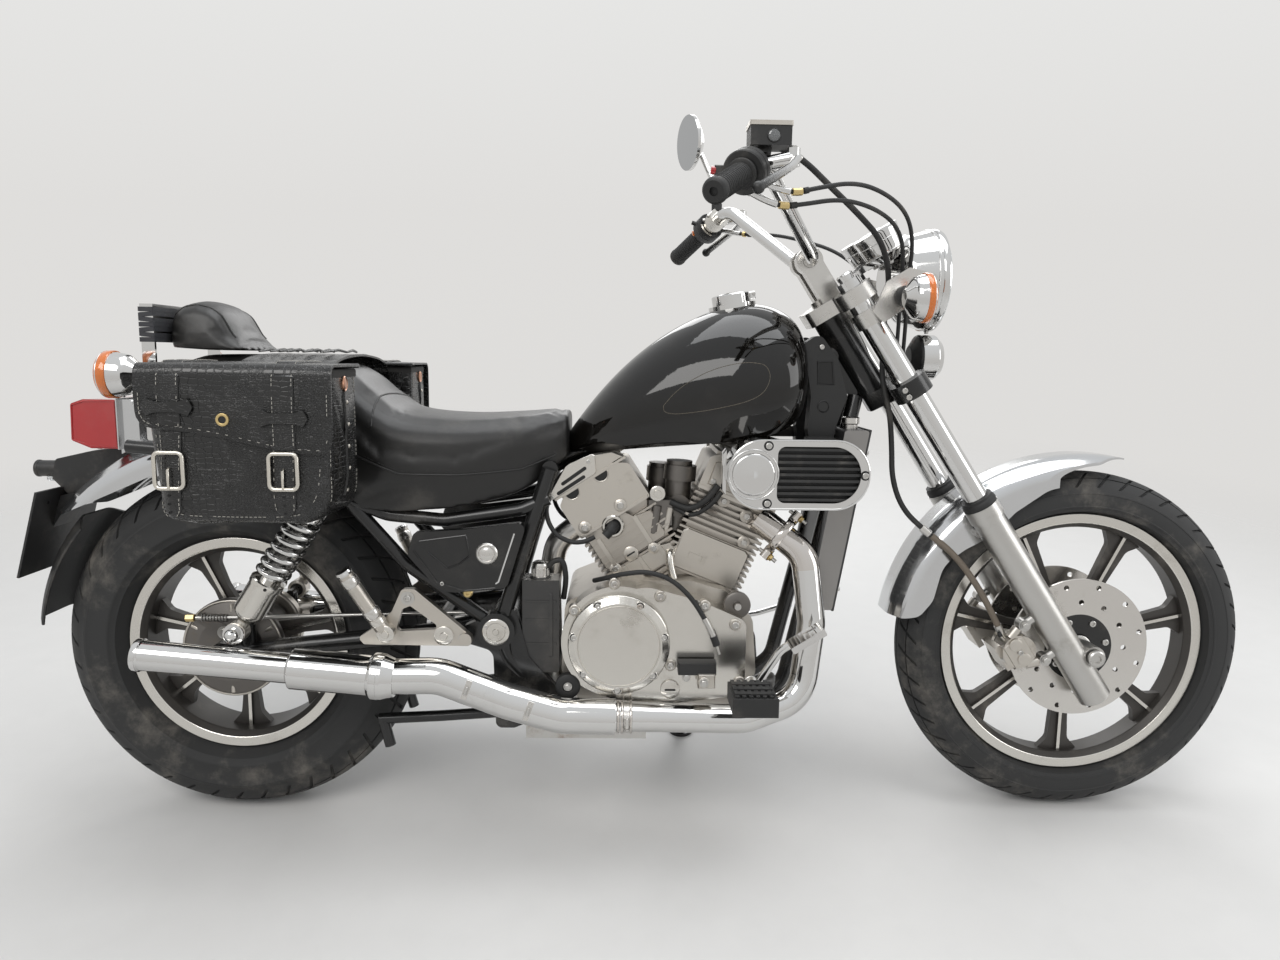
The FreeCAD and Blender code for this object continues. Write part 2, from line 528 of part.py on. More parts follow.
def build_frame():
    head_low = (0, 0, LOWER_CLAMP_S + LOWER_CLAMP_T + SEAT_GAP)
    head_high = (0, 0, TOP_CLAMP_S - SEAT_GAP)
    head = in_fork(rod(head_low, head_high, HEAD_TUBE_R))
    backbone = bar([(1116, 0, 884), (990, 0, 826), (650, 0, 700), (FRAME_CROSS[0], 0, FRAME_CROSS[1])], 20, 60)
    gusset = side_plate([(1150, 800, 4), (1122, 900, 4), (1040, 850, 6), (1068, 812, 6)], -14, 14)
    cross = across(*FRAME_CROSS, TUBE_R, -RAIL_Y + 8, RAIL_Y - 8)
    hollow = in_fork(rod((0, 0, LOWER_CLAMP_S), (0, 0, TOP_CLAMP_S + 5), STEM_R + 0.6))
    add("frame_headstock", fuse(head, backbone, gusset, cross).cut(hollow))
    for name, side in (("left", 1), ("right", -1)):
        cradle = bar([(FRAME_CROSS[0], side * (RAIL_Y - 8), FRAME_CROSS[1]), (534, side * RAIL_Y, 510), (502, side * RAIL_Y, 400), (506, side * RAIL_Y, 330),
                      (590, side * 102, 222), (950, side * 84, 204), (1018, side * 70, 270), (1092, side * 60, 600),
                      (1140, side * 32, 800)], TUBE_R, 55)
        cx, _, cz = CENTRE_STAND_PIVOT
        plate = side_plate([(432, 386, 4), (470, 402, 20), (524, 420, 10), (548, 330, 14), (606, 262, 14), (600, 228, 10), (cx + 16, cz - 16, 12),
                            (cx - 17, cz - 16, 12), (484, 340, 20), (432, 356, 4)], *sorted((side * PLATE_IN, side * (RAIL_Y + 9))))
        stub = across(440, 372, 9, *sorted((side * (RAIL_Y + 8), side * (RAIL_Y + 22))))
        boss = across(PIVOT_X, PIVOT_Z, 33, *sorted((side * (RAIL_Y - 14), side * (RAIL_Y + 22))))
        upper = bar([(582, side * (RAIL_Y - 6), 616), (534, side * (RAIL_Y - 2), 596), (400, side * RAIL_Y, 576), (300, side * (RAIL_Y + 2), 586),
                     (196, side * (RAIL_Y + 2), 626), (60, side * (RAIL_Y - 2), 684), (-150, side * 106, 700)], TUBE_R - 2, 70)
        brace = bar([(468, side * RAIL_Y, 398), (330, side * (RAIL_Y + 1), 498), (236, side * (RAIL_Y + 2), 606)], TUBE_R - 2, 50)
        stud = across(SHOCK_TOP[0], SHOCK_TOP[1], 8, *sorted((side * (RAIL_Y - 4), side * (SHOCK_Y + 22))))
        tabs = [across(x, z, 7, *sorted((side * (REAR_FENDER_HALF_W + SEAT_GAP), side * (RAIL_Y - 4))))
                for x, z in ((60, 684), (-110, 697))]
        add(name + "_frame_side", fuse(cradle, plate, stub, boss, upper, brace, stud, *tabs))
        trim(name + "_frame_side", "frame_headstock")


SHOCK_TOP, SHOCK_BOTTOM, SHOCK_Y, SPRING_R = (196.0, 626.0), (42.0, 381.0), 150.0, 31.0
SPRING_COILS = 8


def build_rear_suspension():
    x0, z0 = SHOCK_BOTTOM
    x1, z1 = SHOCK_TOP
    length = math.hypot(x1 - x0, z1 - z0)
    along = ((x1 - x0) / length, 0, (z1 - z0) / length)
    across_shock = (along[2], 0, -along[0])
    spring_from, spring_to = 112.0, length - 44
    pitch = (spring_to - spring_from) / SPRING_COILS
    outline = [(26, 0, 0), (26, 15, 4), (44, 27, 6), (104, 27, 3), (104, SPRING_R - 1, 2), (spring_from, SPRING_R - 1, 2)]
    for k in range(SPRING_COILS):
        u = spring_from + pitch * k
        outline += [(u + 0.12 * pitch, 21, 0), (u + 0.42 * pitch, 21, 0), (u + 0.55 * pitch, SPRING_R, 2.2), (u + 0.9 * pitch, SPRING_R, 2.2)]
    outline += [(spring_to, 21, 0), (spring_to, SPRING_R - 2, 3), (length - 22, SPRING_R - 4, 5), (length - 20, 0, 0)]
    shocks = []
    for side in (1, -1):
        body = turned(outline, (x0, side * SHOCK_Y, z0), along, across_shock)
        eyes, holes = [], []
        for x, z in (SHOCK_BOTTOM, SHOCK_TOP):
            eyes.append(across(x, z, 19, side * SHOCK_Y - 14, side * SHOCK_Y + 14))
            holes.append(across(x, z, 8 + SEAT_GAP, side * SHOCK_Y - 30, side * SHOCK_Y + 30))
        necks = [rod((x0, side * SHOCK_Y, z0), (x0 + along[0] * 30, side * SHOCK_Y, z0 + along[2] * 30), 11),
                 rod((x1, side * SHOCK_Y, z1), (x1 - along[0] * 26, side * SHOCK_Y, z1 - along[2] * 26), 12)]
        shocks.append(fuse(body, *eyes, *necks).cut(compound(*holes)))
    add("rear_shocks", compound(*shocks))

    arm_y = 104.0
    right = bar([(PIVOT_X - 8, -70, PIVOT_Z), (440, -74, PIVOT_Z - 5), (376, -arm_y, PIVOT_Z - 12), (0, -arm_y, REAR_Z)], 17, 40)
    left = bar([(PIVOT_X - 8, 70, PIVOT_Z), (440, 74, PIVOT_Z - 5), (376, arm_y, PIVOT_Z - 12), (20, arm_y, REAR_Z + 2)], 22, 40)
    pivot = across(PIVOT_X, PIVOT_Z, 22, -RAIL_Y + 14 + SEAT_GAP, RAIL_Y - 14 - SEAT_GAP)
    bridge = across(376, PIVOT_Z - 12, 16, -arm_y, arm_y)
    boss = across(0, REAR_Z, 24, -arm_y - 17, -arm_y + 17)
    studs = [across(SHOCK_BOTTOM[0], SHOCK_BOTTOM[1], 8, *sorted((side * (arm_y - 6), side * (SHOCK_Y + 22)))) for side in (1, -1)]
    hangers = [rod((SHOCK_BOTTOM[0], side * arm_y, SHOCK_BOTTOM[1]), (SHOCK_BOTTOM[0], side * arm_y, 340), 13) for side in (1, -1)]
    bore = across(0, REAR_Z, AXLE_R + SEAT_GAP, -200, 100)
    add("swingarm", fuse(right, left, pivot, bridge, boss, *studs, *hangers).cut(bore))
    gear = turned([(HUB_W_REAR / 2 + 5, 0, 0), (HUB_W_REAR / 2 + 5, 78, 6), (78, 78, 14), (116, 52, 16), (124, 0, 0)],
                  (0, 0, REAR_Z), (0, 1, 0), (0, 0, 1))
    nose = rod((20, arm_y - 8, REAR_Z + 2), (92, arm_y - 8, REAR_Z + 14), 27)
    drive = fuse(gear, nose).cut(across(0, REAR_Z, AXLE_R + SEAT_GAP, 0, 200))
    drum = turned([(-HUB_W_REAR / 2 - 5, 0, 0), (-HUB_W_REAR / 2 - 5, 92, 5), (-74, 92, 8), (-84, 60, 8), (-86, 0, 0)],
                  (0, 0, REAR_Z), (0, 1, 0), (0, 0, 1))
    lever = side_plate([(-14, 352, 6), (-62, 380, 8), (-50, 396, 8), (6, 366, 6)], -86, -78)
    drum = fuse(drum, lever).cut(across(0, REAR_Z, AXLE_R + SEAT_GAP, -200, 0))
    add("final_drive_and_brake_panel", compound(drive, drum))
    trim("final_drive_and_brake_panel", "swingarm")
    axle = across(0, REAR_Z, AXLE_R, -arm_y - 26, 96)
    nut = across(0, REAR_Z, 16, -arm_y - 30, -arm_y - 17 - SEAT_GAP)
    add("rear_axle", fuse(axle, nut))


# Engine

def tilted(piece, tilt):
    return swung(piece, CRANK_X, CRANK_Z, tilt)


def cylinder(tilt, offset, fins_from, fins_to, pitch, head_from, head_to):
    """One cylinder and head: drawn standing over the crankshaft, then tilted. offset moves it along the V."""
    x0 = CRANK_X + offset
    core = box(x0 - CYL_HALF_W + 12, x0 + CYL_HALF_W - 12, -CYL_HALF_Y + 12, CYL_HALF_Y - 12, CRANK_Z + 92, CRANK_Z + head_to - 4)
    pieces = [core]
    u = fins_from
    while u < fins_to:
        pieces.append(box(x0 - CYL_HALF_W, x0 + CYL_HALF_W, -CYL_HALF_Y, CYL_HALF_Y, CRANK_Z + u, CRANK_Z + u + 4))
        u += pitch
    head = [(x0 - CYL_HALF_W + 2, CRANK_Z + head_from, 4), (x0 + CYL_HALF_W - 2, CRANK_Z + head_from, 4),
            (x0 + CYL_HALF_W - 2, CRANK_Z + head_to - 18, 12), (x0 + CYL_HALF_W - 30, CRANK_Z + head_to, 12),
            (x0 - CYL_HALF_W + 30, CRANK_Z + head_to, 12), (x0 - CYL_HALF_W + 2, CRANK_Z + head_to - 18, 12)]
    pieces.append(side_plate(head, -CYL_HALF_Y - 6, CYL_HALF_Y + 6))
    return tilted(fuse(*pieces), tilt)


CASE_Y = 118.0


def build_engine():
    case = side_plate([(606, 300, 20), (640, 244, 20), (800, 226, 20), (930, 240, 24), (958, 300, 30), (950, 400, 20), (900, 452, 16),
                       (838, 470, 10), (712, 470, 20), (612, 430, 24)], -CASE_Y, CASE_Y)
    cylinders = {"rear": cylinder(REAR_TILT, 10, 122, 250, 11, 262, 352), "front": cylinder(FRONT_TILT, -20, 112, 262, 11, 272, 346)}
    for shape in cylinders.values():
        case = case.cut(shape)
    add("crankcase", max(case.Solids, key=lambda s: s.Volume))
    rear, front = cylinders["rear"], cylinders["front"]
    add("front_cylinder", front)
    add("rear_cylinder", rear)
    trim("rear_cylinder", "front_cylinder")
    cover = side_plate([(616, 300, 60), (700, 266, 60), (800, 258, 20), (932, 276, 14), (932, 410, 20), (850, 446, 16), (760, 470, 60), (640, 452, 60)],
                       CASE_Y + SEAT_GAP, CASE_Y + 46)
    rounds = across(CLUTCH_X, CLUTCH_Z, CLUTCH_R + 12, CASE_Y + SEAT_GAP, CASE_Y + 46)
    right_cover = mirrored(fuse(cover, rounds))
    left_face = turned([(CASE_Y + 30, 0, 0), (CASE_Y + 30, 84, 0), (CASE_Y + 52, 80, 8), (CASE_Y + 62, 50, 12), (CASE_Y + 64, 0, 0)],
                       (CRANK_X, 0, CRANK_Z), (0, 1, 0), (0, 0, 1))
    left_base = side_plate([(620, 300, 30), (700, 262, 30), (800, 250, 20), (926, 268, 30), (940, 400, 30), (860, 446, 20), (740, 452, 30), (624, 420, 30)],
                           CASE_Y + SEAT_GAP, CASE_Y + 34)
    disc = turned([(CASE_Y + 46 + SEAT_GAP, 0, 0), (CASE_Y + 46 + SEAT_GAP, CLUTCH_R, 0), (CASE_Y + 60, CLUTCH_R, 5),
                   (CASE_Y + 68, CLUTCH_R - 14, 6), (CASE_Y + 68, 0, 0)], (CLUTCH_X, 0, CLUTCH_Z), (0, -1, 0), (0, 0, 1))
    add("engine_side_covers", compound(right_cover, fuse(left_base, left_face), disc))
    build_intake()


LOUVRE_X, LOUVRE_Z, LOUVRE_IN, LOUVRE_OUT, LOUVRES = (889.0, 1131.0), (612.0, 732.0), 126.0, 188.0, 9


def build_intake():
    x0, x1 = LOUVRE_X
    z0, z1 = LOUVRE_Z
    r = (z1 - z0) / 2 - 1
    shell = side_plate([(x0, z0, r), (x1, z0, r), (x1, z1, r), (x0, z1, r)], LOUVRE_IN, LOUVRE_OUT)
    window = side_plate([(x0 + 84, z0 + 12, 14), (x1 - 16, z0 + 12, r - 12), (x1 - 16, z1 - 12, r - 12), (x0 + 84, z1 - 12, 14)],
                        LOUVRE_OUT - 14, LOUVRE_OUT + 4)
    blades = []
    pitch = (z1 - z0 - 24) / LOUVRES
    for k in range(LOUVRES):
        z = z0 + 12 + pitch * (k + 0.5)
        blades.append(box(x0 + 82, x1 - 14, LOUVRE_OUT - 16, LOUVRE_OUT - 3, z - pitch * 0.22, z + pitch * 0.22).common(
            side_plate([(x0, z0, r), (x1, z0, r), (x1, z1, r), (x0, z1, r)], LOUVRE_IN, LOUVRE_OUT)))
    dome = turned([(LOUVRE_OUT - 4, 0, 0), (LOUVRE_OUT - 4, 40, 0), (LOUVRE_OUT + 3, 34, 5), (LOUVRE_OUT + 5, 0, 0)],
                  (x0 + 44, 0, (z0 + z1) / 2), (0, 1, 0), (0, 0, 1))
    arm = across((x0 + x1) / 2 - 30, (z0 + z1) / 2 - 10, 12, CYL_HALF_Y + 6 + SEAT_GAP, LOUVRE_IN + 4)
    cleaner = fuse(shell.cut(window), *blades, dome, arm)
    bodies = []
    for x, z, y in ((782, 600, 34), (812, 612, -34)):
        throat = rod((x, y, z - 62), (x + 6, y, z + 66), 24)
        bowl = rod((x + 4, y + 26, z - 16), (x + 4, y - 26, z - 16), 21)
        top = rod((x + 6, y, z + 30), (x + 8, y, z + 58), 30)
        bodies.append(fuse(throat, bowl, top))
    bridge = box(776, 822, -36, 36, 604, 622)
    add("carburettors_and_air_cleaners", compound(fuse(*bodies, bridge), cleaner, mirrored(cleaner)))
    trim("carburettors_and_air_cleaners", "rear_cylinder", "front_cylinder")


LINK_X = 552.0                  # the left silencer's pipe crosses here to the collector under the engine
TAIL_END, SHIELD_START = (-112.0, 352.0), (300.0, 316.0)   # X and Z on the silencer's axis
SHIELD_RUN = (SHIELD_START, (400.0, 318.0), (520.0, 272.0), (610.0, 247.0), (704.0, 245.0))
# the silencer's section: distance from the tail's end, radius, corner radius
SILENCER = ((120, 0, 0), (120, 21, 0), (0, 21, 0), (0, 28, 2), (10, 28, 2), (12, 26, 0), (258, 26, 0), (264, 35, 3), (396, 35, 0),
            (402, 40, 3), (420, 40, 3), (440, 33, 0), (440, 0, 0))


def build_exhaust():
    axis = (SHIELD_START[0] - TAIL_END[0], 0, SHIELD_START[1] - TAIL_END[1])
    for name, side in (("left", 1), ("right", -1)):
        y = side * EXHAUST_Y
        silencer = turned(SILENCER, (TAIL_END[0], y, TAIL_END[1]), axis, (0, 1, 0))
        run = SHIELD_RUN if side < 0 else SHIELD_RUN[:-1]
        shield = bar([(x, y, z) for x, z in run], 31, 90)
        pieces = [silencer, shield]
        if side < 0:
            header = bar([(700, y, 245), (930, y + 6, 240), (1034, y + 34, 268), (1052, y + 52, 400), (1040, y + 74, 520), (960, y + 106, 580)], 25, 64)
            flange = rod((996, y + 94, 553), (1004, y + 91, 547), 34)
            pieces += [header, flange]
        else:
            pieces.append(bar([(LINK_X, 68, 180), (LINK_X, y - 25, 184), (LINK_X, y, 225), (LINK_X, y, 255)], 23, 40))
        add(name + "_exhaust", fuse(*pieces))
    collector = box(536, 762, -70, 70, 152, 220)
    rear_pipe = bar([(640, -20, 560), (590, -20, 520), (576, -20, 440), (582, -20, 219)], 22, 60)
    add("exhaust_collector", fuse(collector, rear_pipe))
    trim("right_exhaust", "front_cylinder")
    trim("exhaust_collector", "rear_cylinder", "crankcase", "left_exhaust")


# Tank, seat and covers

TANK_SECTIONS = (               # x, bottom, top, half width
    (606, 690, 716, 20), (660, 694, 790, 66), (760, 706, 888, 110), (860, 716, 946, 138),
    (950, 728, 966, 148), (1010, 750, 948, 130), (1040, 796, 900, 84))
SEAT_SECTIONS = (               # x, bottom, top, half width
    (614, 684, 770, 76), (540, 628, 762, 126), (430, 600, 757, 152), (330, 592, 766, 158),
    (280, 592, 796, 152), (238, 600, 832, 144), (190, 640, 852, 136), (60, 690, 860, 130), (-66, 740, 858, 116))


def tank_section(x, low, high, half):
    """A flat-bottomed, round-sided section: one line and three arcs."""
    shoulder, foot = half * 0.66, half * 0.80
    shoulder_z, widest_z = high - 0.16 * (high - low), low + 0.42 * (high - low)

    def at(y, z):
        return V(x, y, z)
    return Part.Wire([
        Part.LineSegment(at(foot, low), at(-foot, low)).toShape(),
        Part.Arc(at(-foot, low), at(-half, widest_z), at(-shoulder, shoulder_z)).toShape(),
        Part.Arc(at(-shoulder, shoulder_z), at(0, high), at(shoulder, shoulder_z)).toShape(),
        Part.Arc(at(shoulder, shoulder_z), at(half, widest_z), at(foot, low)).toShape()])


def seat_section(x, low, high, half):
    """A crowned top on sides that spread a little downwards."""
    top, corner = half * 0.72, 0.16 * (high - low)

    def at(y, z):
        return V(x, y, z)
    return Part.Wire([
        Part.LineSegment(at(half * 0.9, low), at(-half * 0.9, low)).toShape(),
        Part.LineSegment(at(-half * 0.9, low), at(-half, high - 2.4 * corner)).toShape(),
        Part.Arc(at(-half, high - 2.4 * corner), at(-half * 0.93, high - corner), at(-top, high - corner * 0.25)).toShape(),
        Part.Arc(at(-top, high - corner * 0.25), at(0, high), at(top, high - corner * 0.25)).toShape(),
        Part.Arc(at(top, high - corner * 0.25), at(half * 0.93, high - corner), at(half, high - 2.4 * corner)).toShape(),
        Part.LineSegment(at(half, high - 2.4 * corner), at(half * 0.9, low)).toShape()])


def build_tank_and_seat():
    tank = loft([tank_section(*s) for s in TANK_SECTIONS])
    tunnel = side_plate([(560, 600, 0), (560, 694, 0), (650, 727, 0), (990, 853, 0), (1120, 916, 0), (1120, 600, 0)], -26, 26)
    tank = tank.cut(tunnel)
    add("fuel_tank", tank)
    cap = swung(rod((912, 0, 960), (912, 0, 981), 36), 912, 962, -10)
    neck = swung(rod((912, 0, 950), (912, 0, 964), 44), 912, 962, -10)
    add("fuel_cap", fuse(cap, neck))
    trim("fuel_cap", "fuel_tank")
    seat = loft([seat_section(*s) for s in SEAT_SECTIONS])
    seat = seat.cut(across(0, REAR_Z, REAR_FENDER_R + 4, -REAR_FENDER_HALF_W - 4, REAR_FENDER_HALF_W + 4))
    add("seat", seat)
    trim("seat", "left_frame_side", "right_frame_side", "frame_headstock", "fuel_tank")
    side_covers, neck_covers = [], []
    for side in (1, -1):
        cover = side_plate([(548, 580, 12), (512, 462, 16), (400, 452, 50), (340, 520, 14), (352, 560, 10), (440, 566, 20)],
                           *sorted((side * (RAIL_Y + 16), side * (RAIL_Y + 34))))
        pegs = [across(x, z, 6, *sorted((side * (RAIL_Y + 12), side * (RAIL_Y + 18)))) for x, z in ((515, 500), (380, 470))]
        side_covers.append(fuse(cover, *pegs))
        neck_covers.append(side_plate([(1034, 894, 14), (1062, 912, 14), (1096, 868, 20), (1116, 800, 20), (1098, 748, 16), (1090, 706, 10),
                                       (1052, 706, 16), (1046, 740, 10), (1050, 800, 10)], *sorted((side * 40, side * 70))))
    add("side_and_neck_covers", compound(*side_covers, *neck_covers))
    trim("side_and_neck_covers", "fuel_tank", "left_frame_side", "right_frame_side", "frame_headstock")


def build_radiator():
    slab = side_plate([(1106, 742, 5), (1150, 742, 5), (1096, 414, 5), (1052, 414, 5)], -104, 104)
    bottle = box(536, 602, -102 - 20, -70, 300, 470)
    cap = rod((566, -98, 468), (566, -98, 492), 15)
    add("radiator_and_coolant_bottle", compound(slab, fuse(bottle, cap)))
    trim("radiator_and_coolant_bottle", "left_frame_side", "right_frame_side", "crankcase")


def build_rear_end():
    joint = -184                 # where the lens meets its base
    lens = side_plate([(-264, 771, 5), (-266, 706, 5), (-232, 692, 5), (joint, 692, 2), (joint, 779, 5), (-242, 779, 8)], -74, 74)
    lens = lens.cut(across(0, REAR_Z, REAR_FENDER_R + 5, -100, 100))
    base = side_plate([(joint + SEAT_GAP, 779, 2), (joint + SEAT_GAP, 668, 0), (-150, 668, 0), (-150, 748, 10), (-162, 779, 6)], -66, 66)
    base = base.cut(across(0, REAR_Z, REAR_FENDER_R + SEAT_GAP, -100, 100))
    add("tail_lamp", compound(lens, base))
    lamp_body = rod((-300, 0, 646), (-370, 0, 646), 15)
    foot = side_plate([(joint - 1, 692 - SEAT_GAP, 1), (-262, 682, 8), (-330, 666, 8), (-338, 630, 6), (-300, 590, 3), (-250, 600, 3)], -22, 22)
    lamp_body = fuse(lamp_body, foot).cut(across(0, REAR_Z, REAR_FENDER_R + SEAT_GAP, -60, 60))
    plate = box(-2, 2, -PLATE_W / 2, PLATE_W / 2, -PLATE_H / 2, PLATE_H / 2)
    for y in (-PLATE_HOLES / 2, PLATE_HOLES / 2):
        plate = plate.cut(rod((-10, y, PLATE_H / 2 - 24), (10, y, PLATE_H / 2 - 24), PLATE_HOLE_R))
    plate.rotate(V(0, 0, 0), Y_AXIS, PLATE_TILT)
    plate.translate(V(*PLATE_CENTRE))
    holder = side_plate([(-286, 604, 3), (-320, 600, 3), (-342, 536, 3), (-334, 534, 3), (-314, 582, 3), (-282, 586, 3)], -30, 30)
    holder = holder.cut(across(0, REAR_Z, REAR_FENDER_R + SEAT_GAP, -60, 60))
    holder = max(holder.cut(plate).Solids, key=lambda s: s.Volume)
    add("number_plate_and_bracket", compound(plate, lamp_body, holder))
    signals = []
    for side in (1, -1):
        x, y, z = REAR_SIGNAL
        shell, lens = lamp((x, 0, z), SIGNAL_R - 2, SIGNAL_DEPTH, -1, side * y)
        stalk = rod((x - 28, side * (y - 20), z), (BACKREST_X[0] - 11, side * 121, z - 6), 8)
        signals += [fuse(shell, stalk), lens]
    add("rear_signals", compound(*signals))


PLATE_W, PLATE_H, PLATE_TILT, PLATE_CENTRE = 200.0, 160.0, 15.6, (-341.0, 0.0, 538.0)
PLATE_HOLES, PLATE_HOLE_R = 120.0, 3.5
BACKREST_X, BACKREST_Z, BACKREST_HALF_W = (-84.0, 62.0), (866.0, 958.0), 96.0


def build_backrest():
    x0, x1 = BACKREST_X
    z0, z1 = BACKREST_Z
    pad = side_plate([(x0, z0, 10), (x1, z0, 4), (x1 - 26, z1 - 38, 40), (x1 - 62, z1, 50), (x0 + 26, z1, 46), (x0, z1 - 40, 30)],
                     -BACKREST_HALF_W, BACKREST_HALF_W)
    add("backrest_pad", pad)
    trim("backrest_pad", "seat")
    rear = x0 - SEAT_GAP
    post = []
    for side in (1, -1):
        post.append(side_plate([(rear - 22, 940, 4), (rear, 940, 4), (rear, 712, 4), (rear - 22, 712, 4)],
                               *sorted((side * 118.3, side * 124))))
    plate = box(rear - 22, rear, -124, 124, 880, 944)
    tie = across(rear - 11, 800, 8, -120, 120)
    add("backrest_bracket", fuse(*post, plate, tie))
    trim("rear_signals", "backrest_bracket")


# Saddlebags

def lid_hinge():
    """The left lid's hinge line, as Y and Z."""
    return BAG_IN - LID_HINGE_OUT, BAG_Z[1] + LID_GAP + LID_T / 2


def build_bags():
    x0, x1 = BAG_X
    z0, z1 = BAG_Z

    def shell(inset, top):
        r = BAG_ROUND - inset
        body = top_plate([(x0 + inset, BAG_IN + inset, 4), (x1 - inset, BAG_IN + inset, 4), (x1 - inset, BAG_OUT - inset, r), (x0 + inset, BAG_OUT - inset, r)],
                         z0 + inset, top)
        low = [e for e in body.Edges if abs(e.BoundBox.ZMax - (z0 + inset)) < 0.1 and abs(e.BoundBox.ZMin - (z0 + inset)) < 0.1]
        return body.makeFillet(10 if inset < 1 else 7, low)
    bag = shell(0, z1).cut(shell(BAG_WALL, z1 + 20))
    hinge_y, hinge_z = lid_hinge()
    out = BAG_OUT + LID_GAP + 1
    top = z1 + LID_GAP
    outline = [(hinge_y, top, 0), (out, top, 0), (out, z1 - LID_DROP, 0), (out + LID_T, z1 - LID_DROP, 2), (out + LID_T, top + LID_T, 16),
               (hinge_y, top + LID_T, 0)]
    lid = end_plate(outline, x0 - 4, x1 + 4)
    roll = rod((x0 - 4, hinge_y, hinge_z), (x1 + 4, hinge_y, hinge_z), LID_ROLL_R)
    lid = fuse(lid, roll)
    add("left_bag_lid", lid)
    add("right_bag_lid", mirrored(lid))
    yoke_top = 856.4
    edge = BAG_IN + 1
    yoke = [(-edge, 700, 0), (-edge, 812, 20), (-148, yoke_top - 14, 40), (-100, yoke_top + 4, 60), (100, yoke_top + 4, 60), (148, yoke_top - 14, 40),
            (edge, 812, 20), (edge, 700, 0)]
    inner = [(y - math.copysign(3, y), z - (3 if z > 800 else 0), max(r - 3, 0)) for y, z, r in reversed(yoke)]
    arch = end_plate(yoke + inner, 70, 232)
    arch = arch.cut(NODES["seat"])
    add("saddlebags", fuse(bag, mirrored(bag), max(arch.Solids, key=lambda s: s.Volume)))


# Controls and pegs

PEG_PIVOT = (940.0, 305.0)


def build_controls():
    passenger = []
    for side in (1, -1):
        y_in = side * (RAIL_Y + 22 + SEAT_GAP)
        plate = side_plate([(252, 372, 8), (262, 360, 6), (448, 358, 8), (452, 374, 8), (352, 460, 8), (330, 460, 8), (312, 420, 6), (288, 396, 8)],
                           *sorted((y_in, side * (RAIL_Y + 36))))
        window = side_plate([(330, 424, 6), (344, 430, 4), (400, 388, 6), (318, 384, 6)], *sorted((side * 100, side * 200)))
        bolt = across(440, 372, 11, *sorted((side * (RAIL_Y + 30), side * (RAIL_Y + 44))))
        peg = rod((300, side * 166, 392), (246, side * 196, 498), 13)
        knuckle = across(306, 386, 13, *sorted((side * (RAIL_Y + 34), side * 174)))
        passenger.append(fuse(plate.cut(window), bolt, knuckle, peg))
    add("passenger_pegs", compound(*passenger))
    x, z = PEG_PIVOT
    pegs = []
    for side in (1, -1):
        arm = bar([(x + 45, side * 82, 236), (x + 45, side * 130, z - 5), (x, side * 175, z), (x, side * 240, z)], 9, 25)
        pad = box(x - 48, x + 24, *sorted((side * 238, side * 318)), z - 5, z + 23)
        ribs = [box(x - 44 + 11 * k, x - 38 + 11 * k, *sorted((side * 240, side * 316)), z + 22, z + 27) for k in range(6)]
        pegs.append(fuse(arm, pad, *ribs))
    ring = across(x, z, 17, -215, -199)
    lever = bar([(x + 8, -207, z + 8), (x + 44, -218, z + 72), (x + 100, -236, z + 112)], 7, 40)
    pedal = side_plate([(x + 58, z + 78, 3), (x + 112, z + 112, 3), (x + 106, z + 122, 3), (x + 52, z + 88, 3)], -262, -218)
    clearance = across(x, z, 9 + SEAT_GAP, -230, 230)
    brake = fuse(ring, lever, pedal).cut(clearance)
    ring = across(x, z, 17, 199, 215)
    lever = bar([(x + 8, 207, z + 3), (x + 70, 214, z + 10), (x + 134, 214, z + 30)], 6, 60)
    toe = rod((x + 134, 206, z + 30), (x + 134, 256, z + 30), 10)
    add("rider_pegs_and_levers", compound(*pegs, brake, fuse(ring, lever, toe).cut(clearance)))
    trim("rider_pegs_and_levers", "left_frame_side", "right_frame_side")


def caliper():
    """The brake caliper behind the right fork leg, straddling its disc."""
    centre_a, centre_s = LEG_A - 78, 430
    body = rod((centre_a, -106, centre_s), (centre_a, -DISC_T + DISC_Y - 8, centre_s), 31)
    inner = rod((centre_a, DISC_Y + 3, centre_s), (centre_a, DISC_Y + 14, centre_s), 24)
    bridge = box(centre_a - 34, centre_a - 22, -96, DISC_Y + 14, centre_s - 26, centre_s + 26)
    arms = [rod((centre_a, -98, centre_s + k * 30), (LEG_A - 46 - 11 - SEAT_GAP, -98, centre_s + k * 38), 9) for k in (1, -1)]
    return in_fork(fuse(body, bridge, inner, *arms))


CABLE_R, HOSE_R = 3.5, 5.0
# each route from the handlebar down to the lower clamp, or on to the right caliper
THROTTLE_CABLE_UPPER = ((918, -297, 1126), (957, -292, 1110), (1000, -283, 1122), (1066, -258, 1137), (1128, -214, 1128),
                        (1178, -164, 1106), (1204, -120, 1066), (1207, -96, 1012), (1213, -73, 918), (1217.5, -48, 835))
THROTTLE_CABLE_LOWER = ((900, -296, 1111), (938, -290, 1092), (980, -280, 1098), (1043, -255, 1112), (1106, -211, 1108),
                        (1160, -162, 1090), (1188, -122, 1056), (1194, -97, 1003), (1200, -75, 910), (1204, -50, 826.5))
CLUTCH_CABLE = ((922.5, 288.3, 1137.1), (966, 258, 1124), (1018, 222, 1122), (1070, 168, 1104), (1129, 118, 1078),
                (1178, 98, 1036), (1200, 84, 970), (1211, 66, 903), (1217.5, 48, 835))
BRAKE_HOSE = ((950, -250, 1190), (990, -224, 1176), (1036, -204, 1142), (1094, -170, 1104), (1148, -130, 1066),
              (1176, -92, 1008))


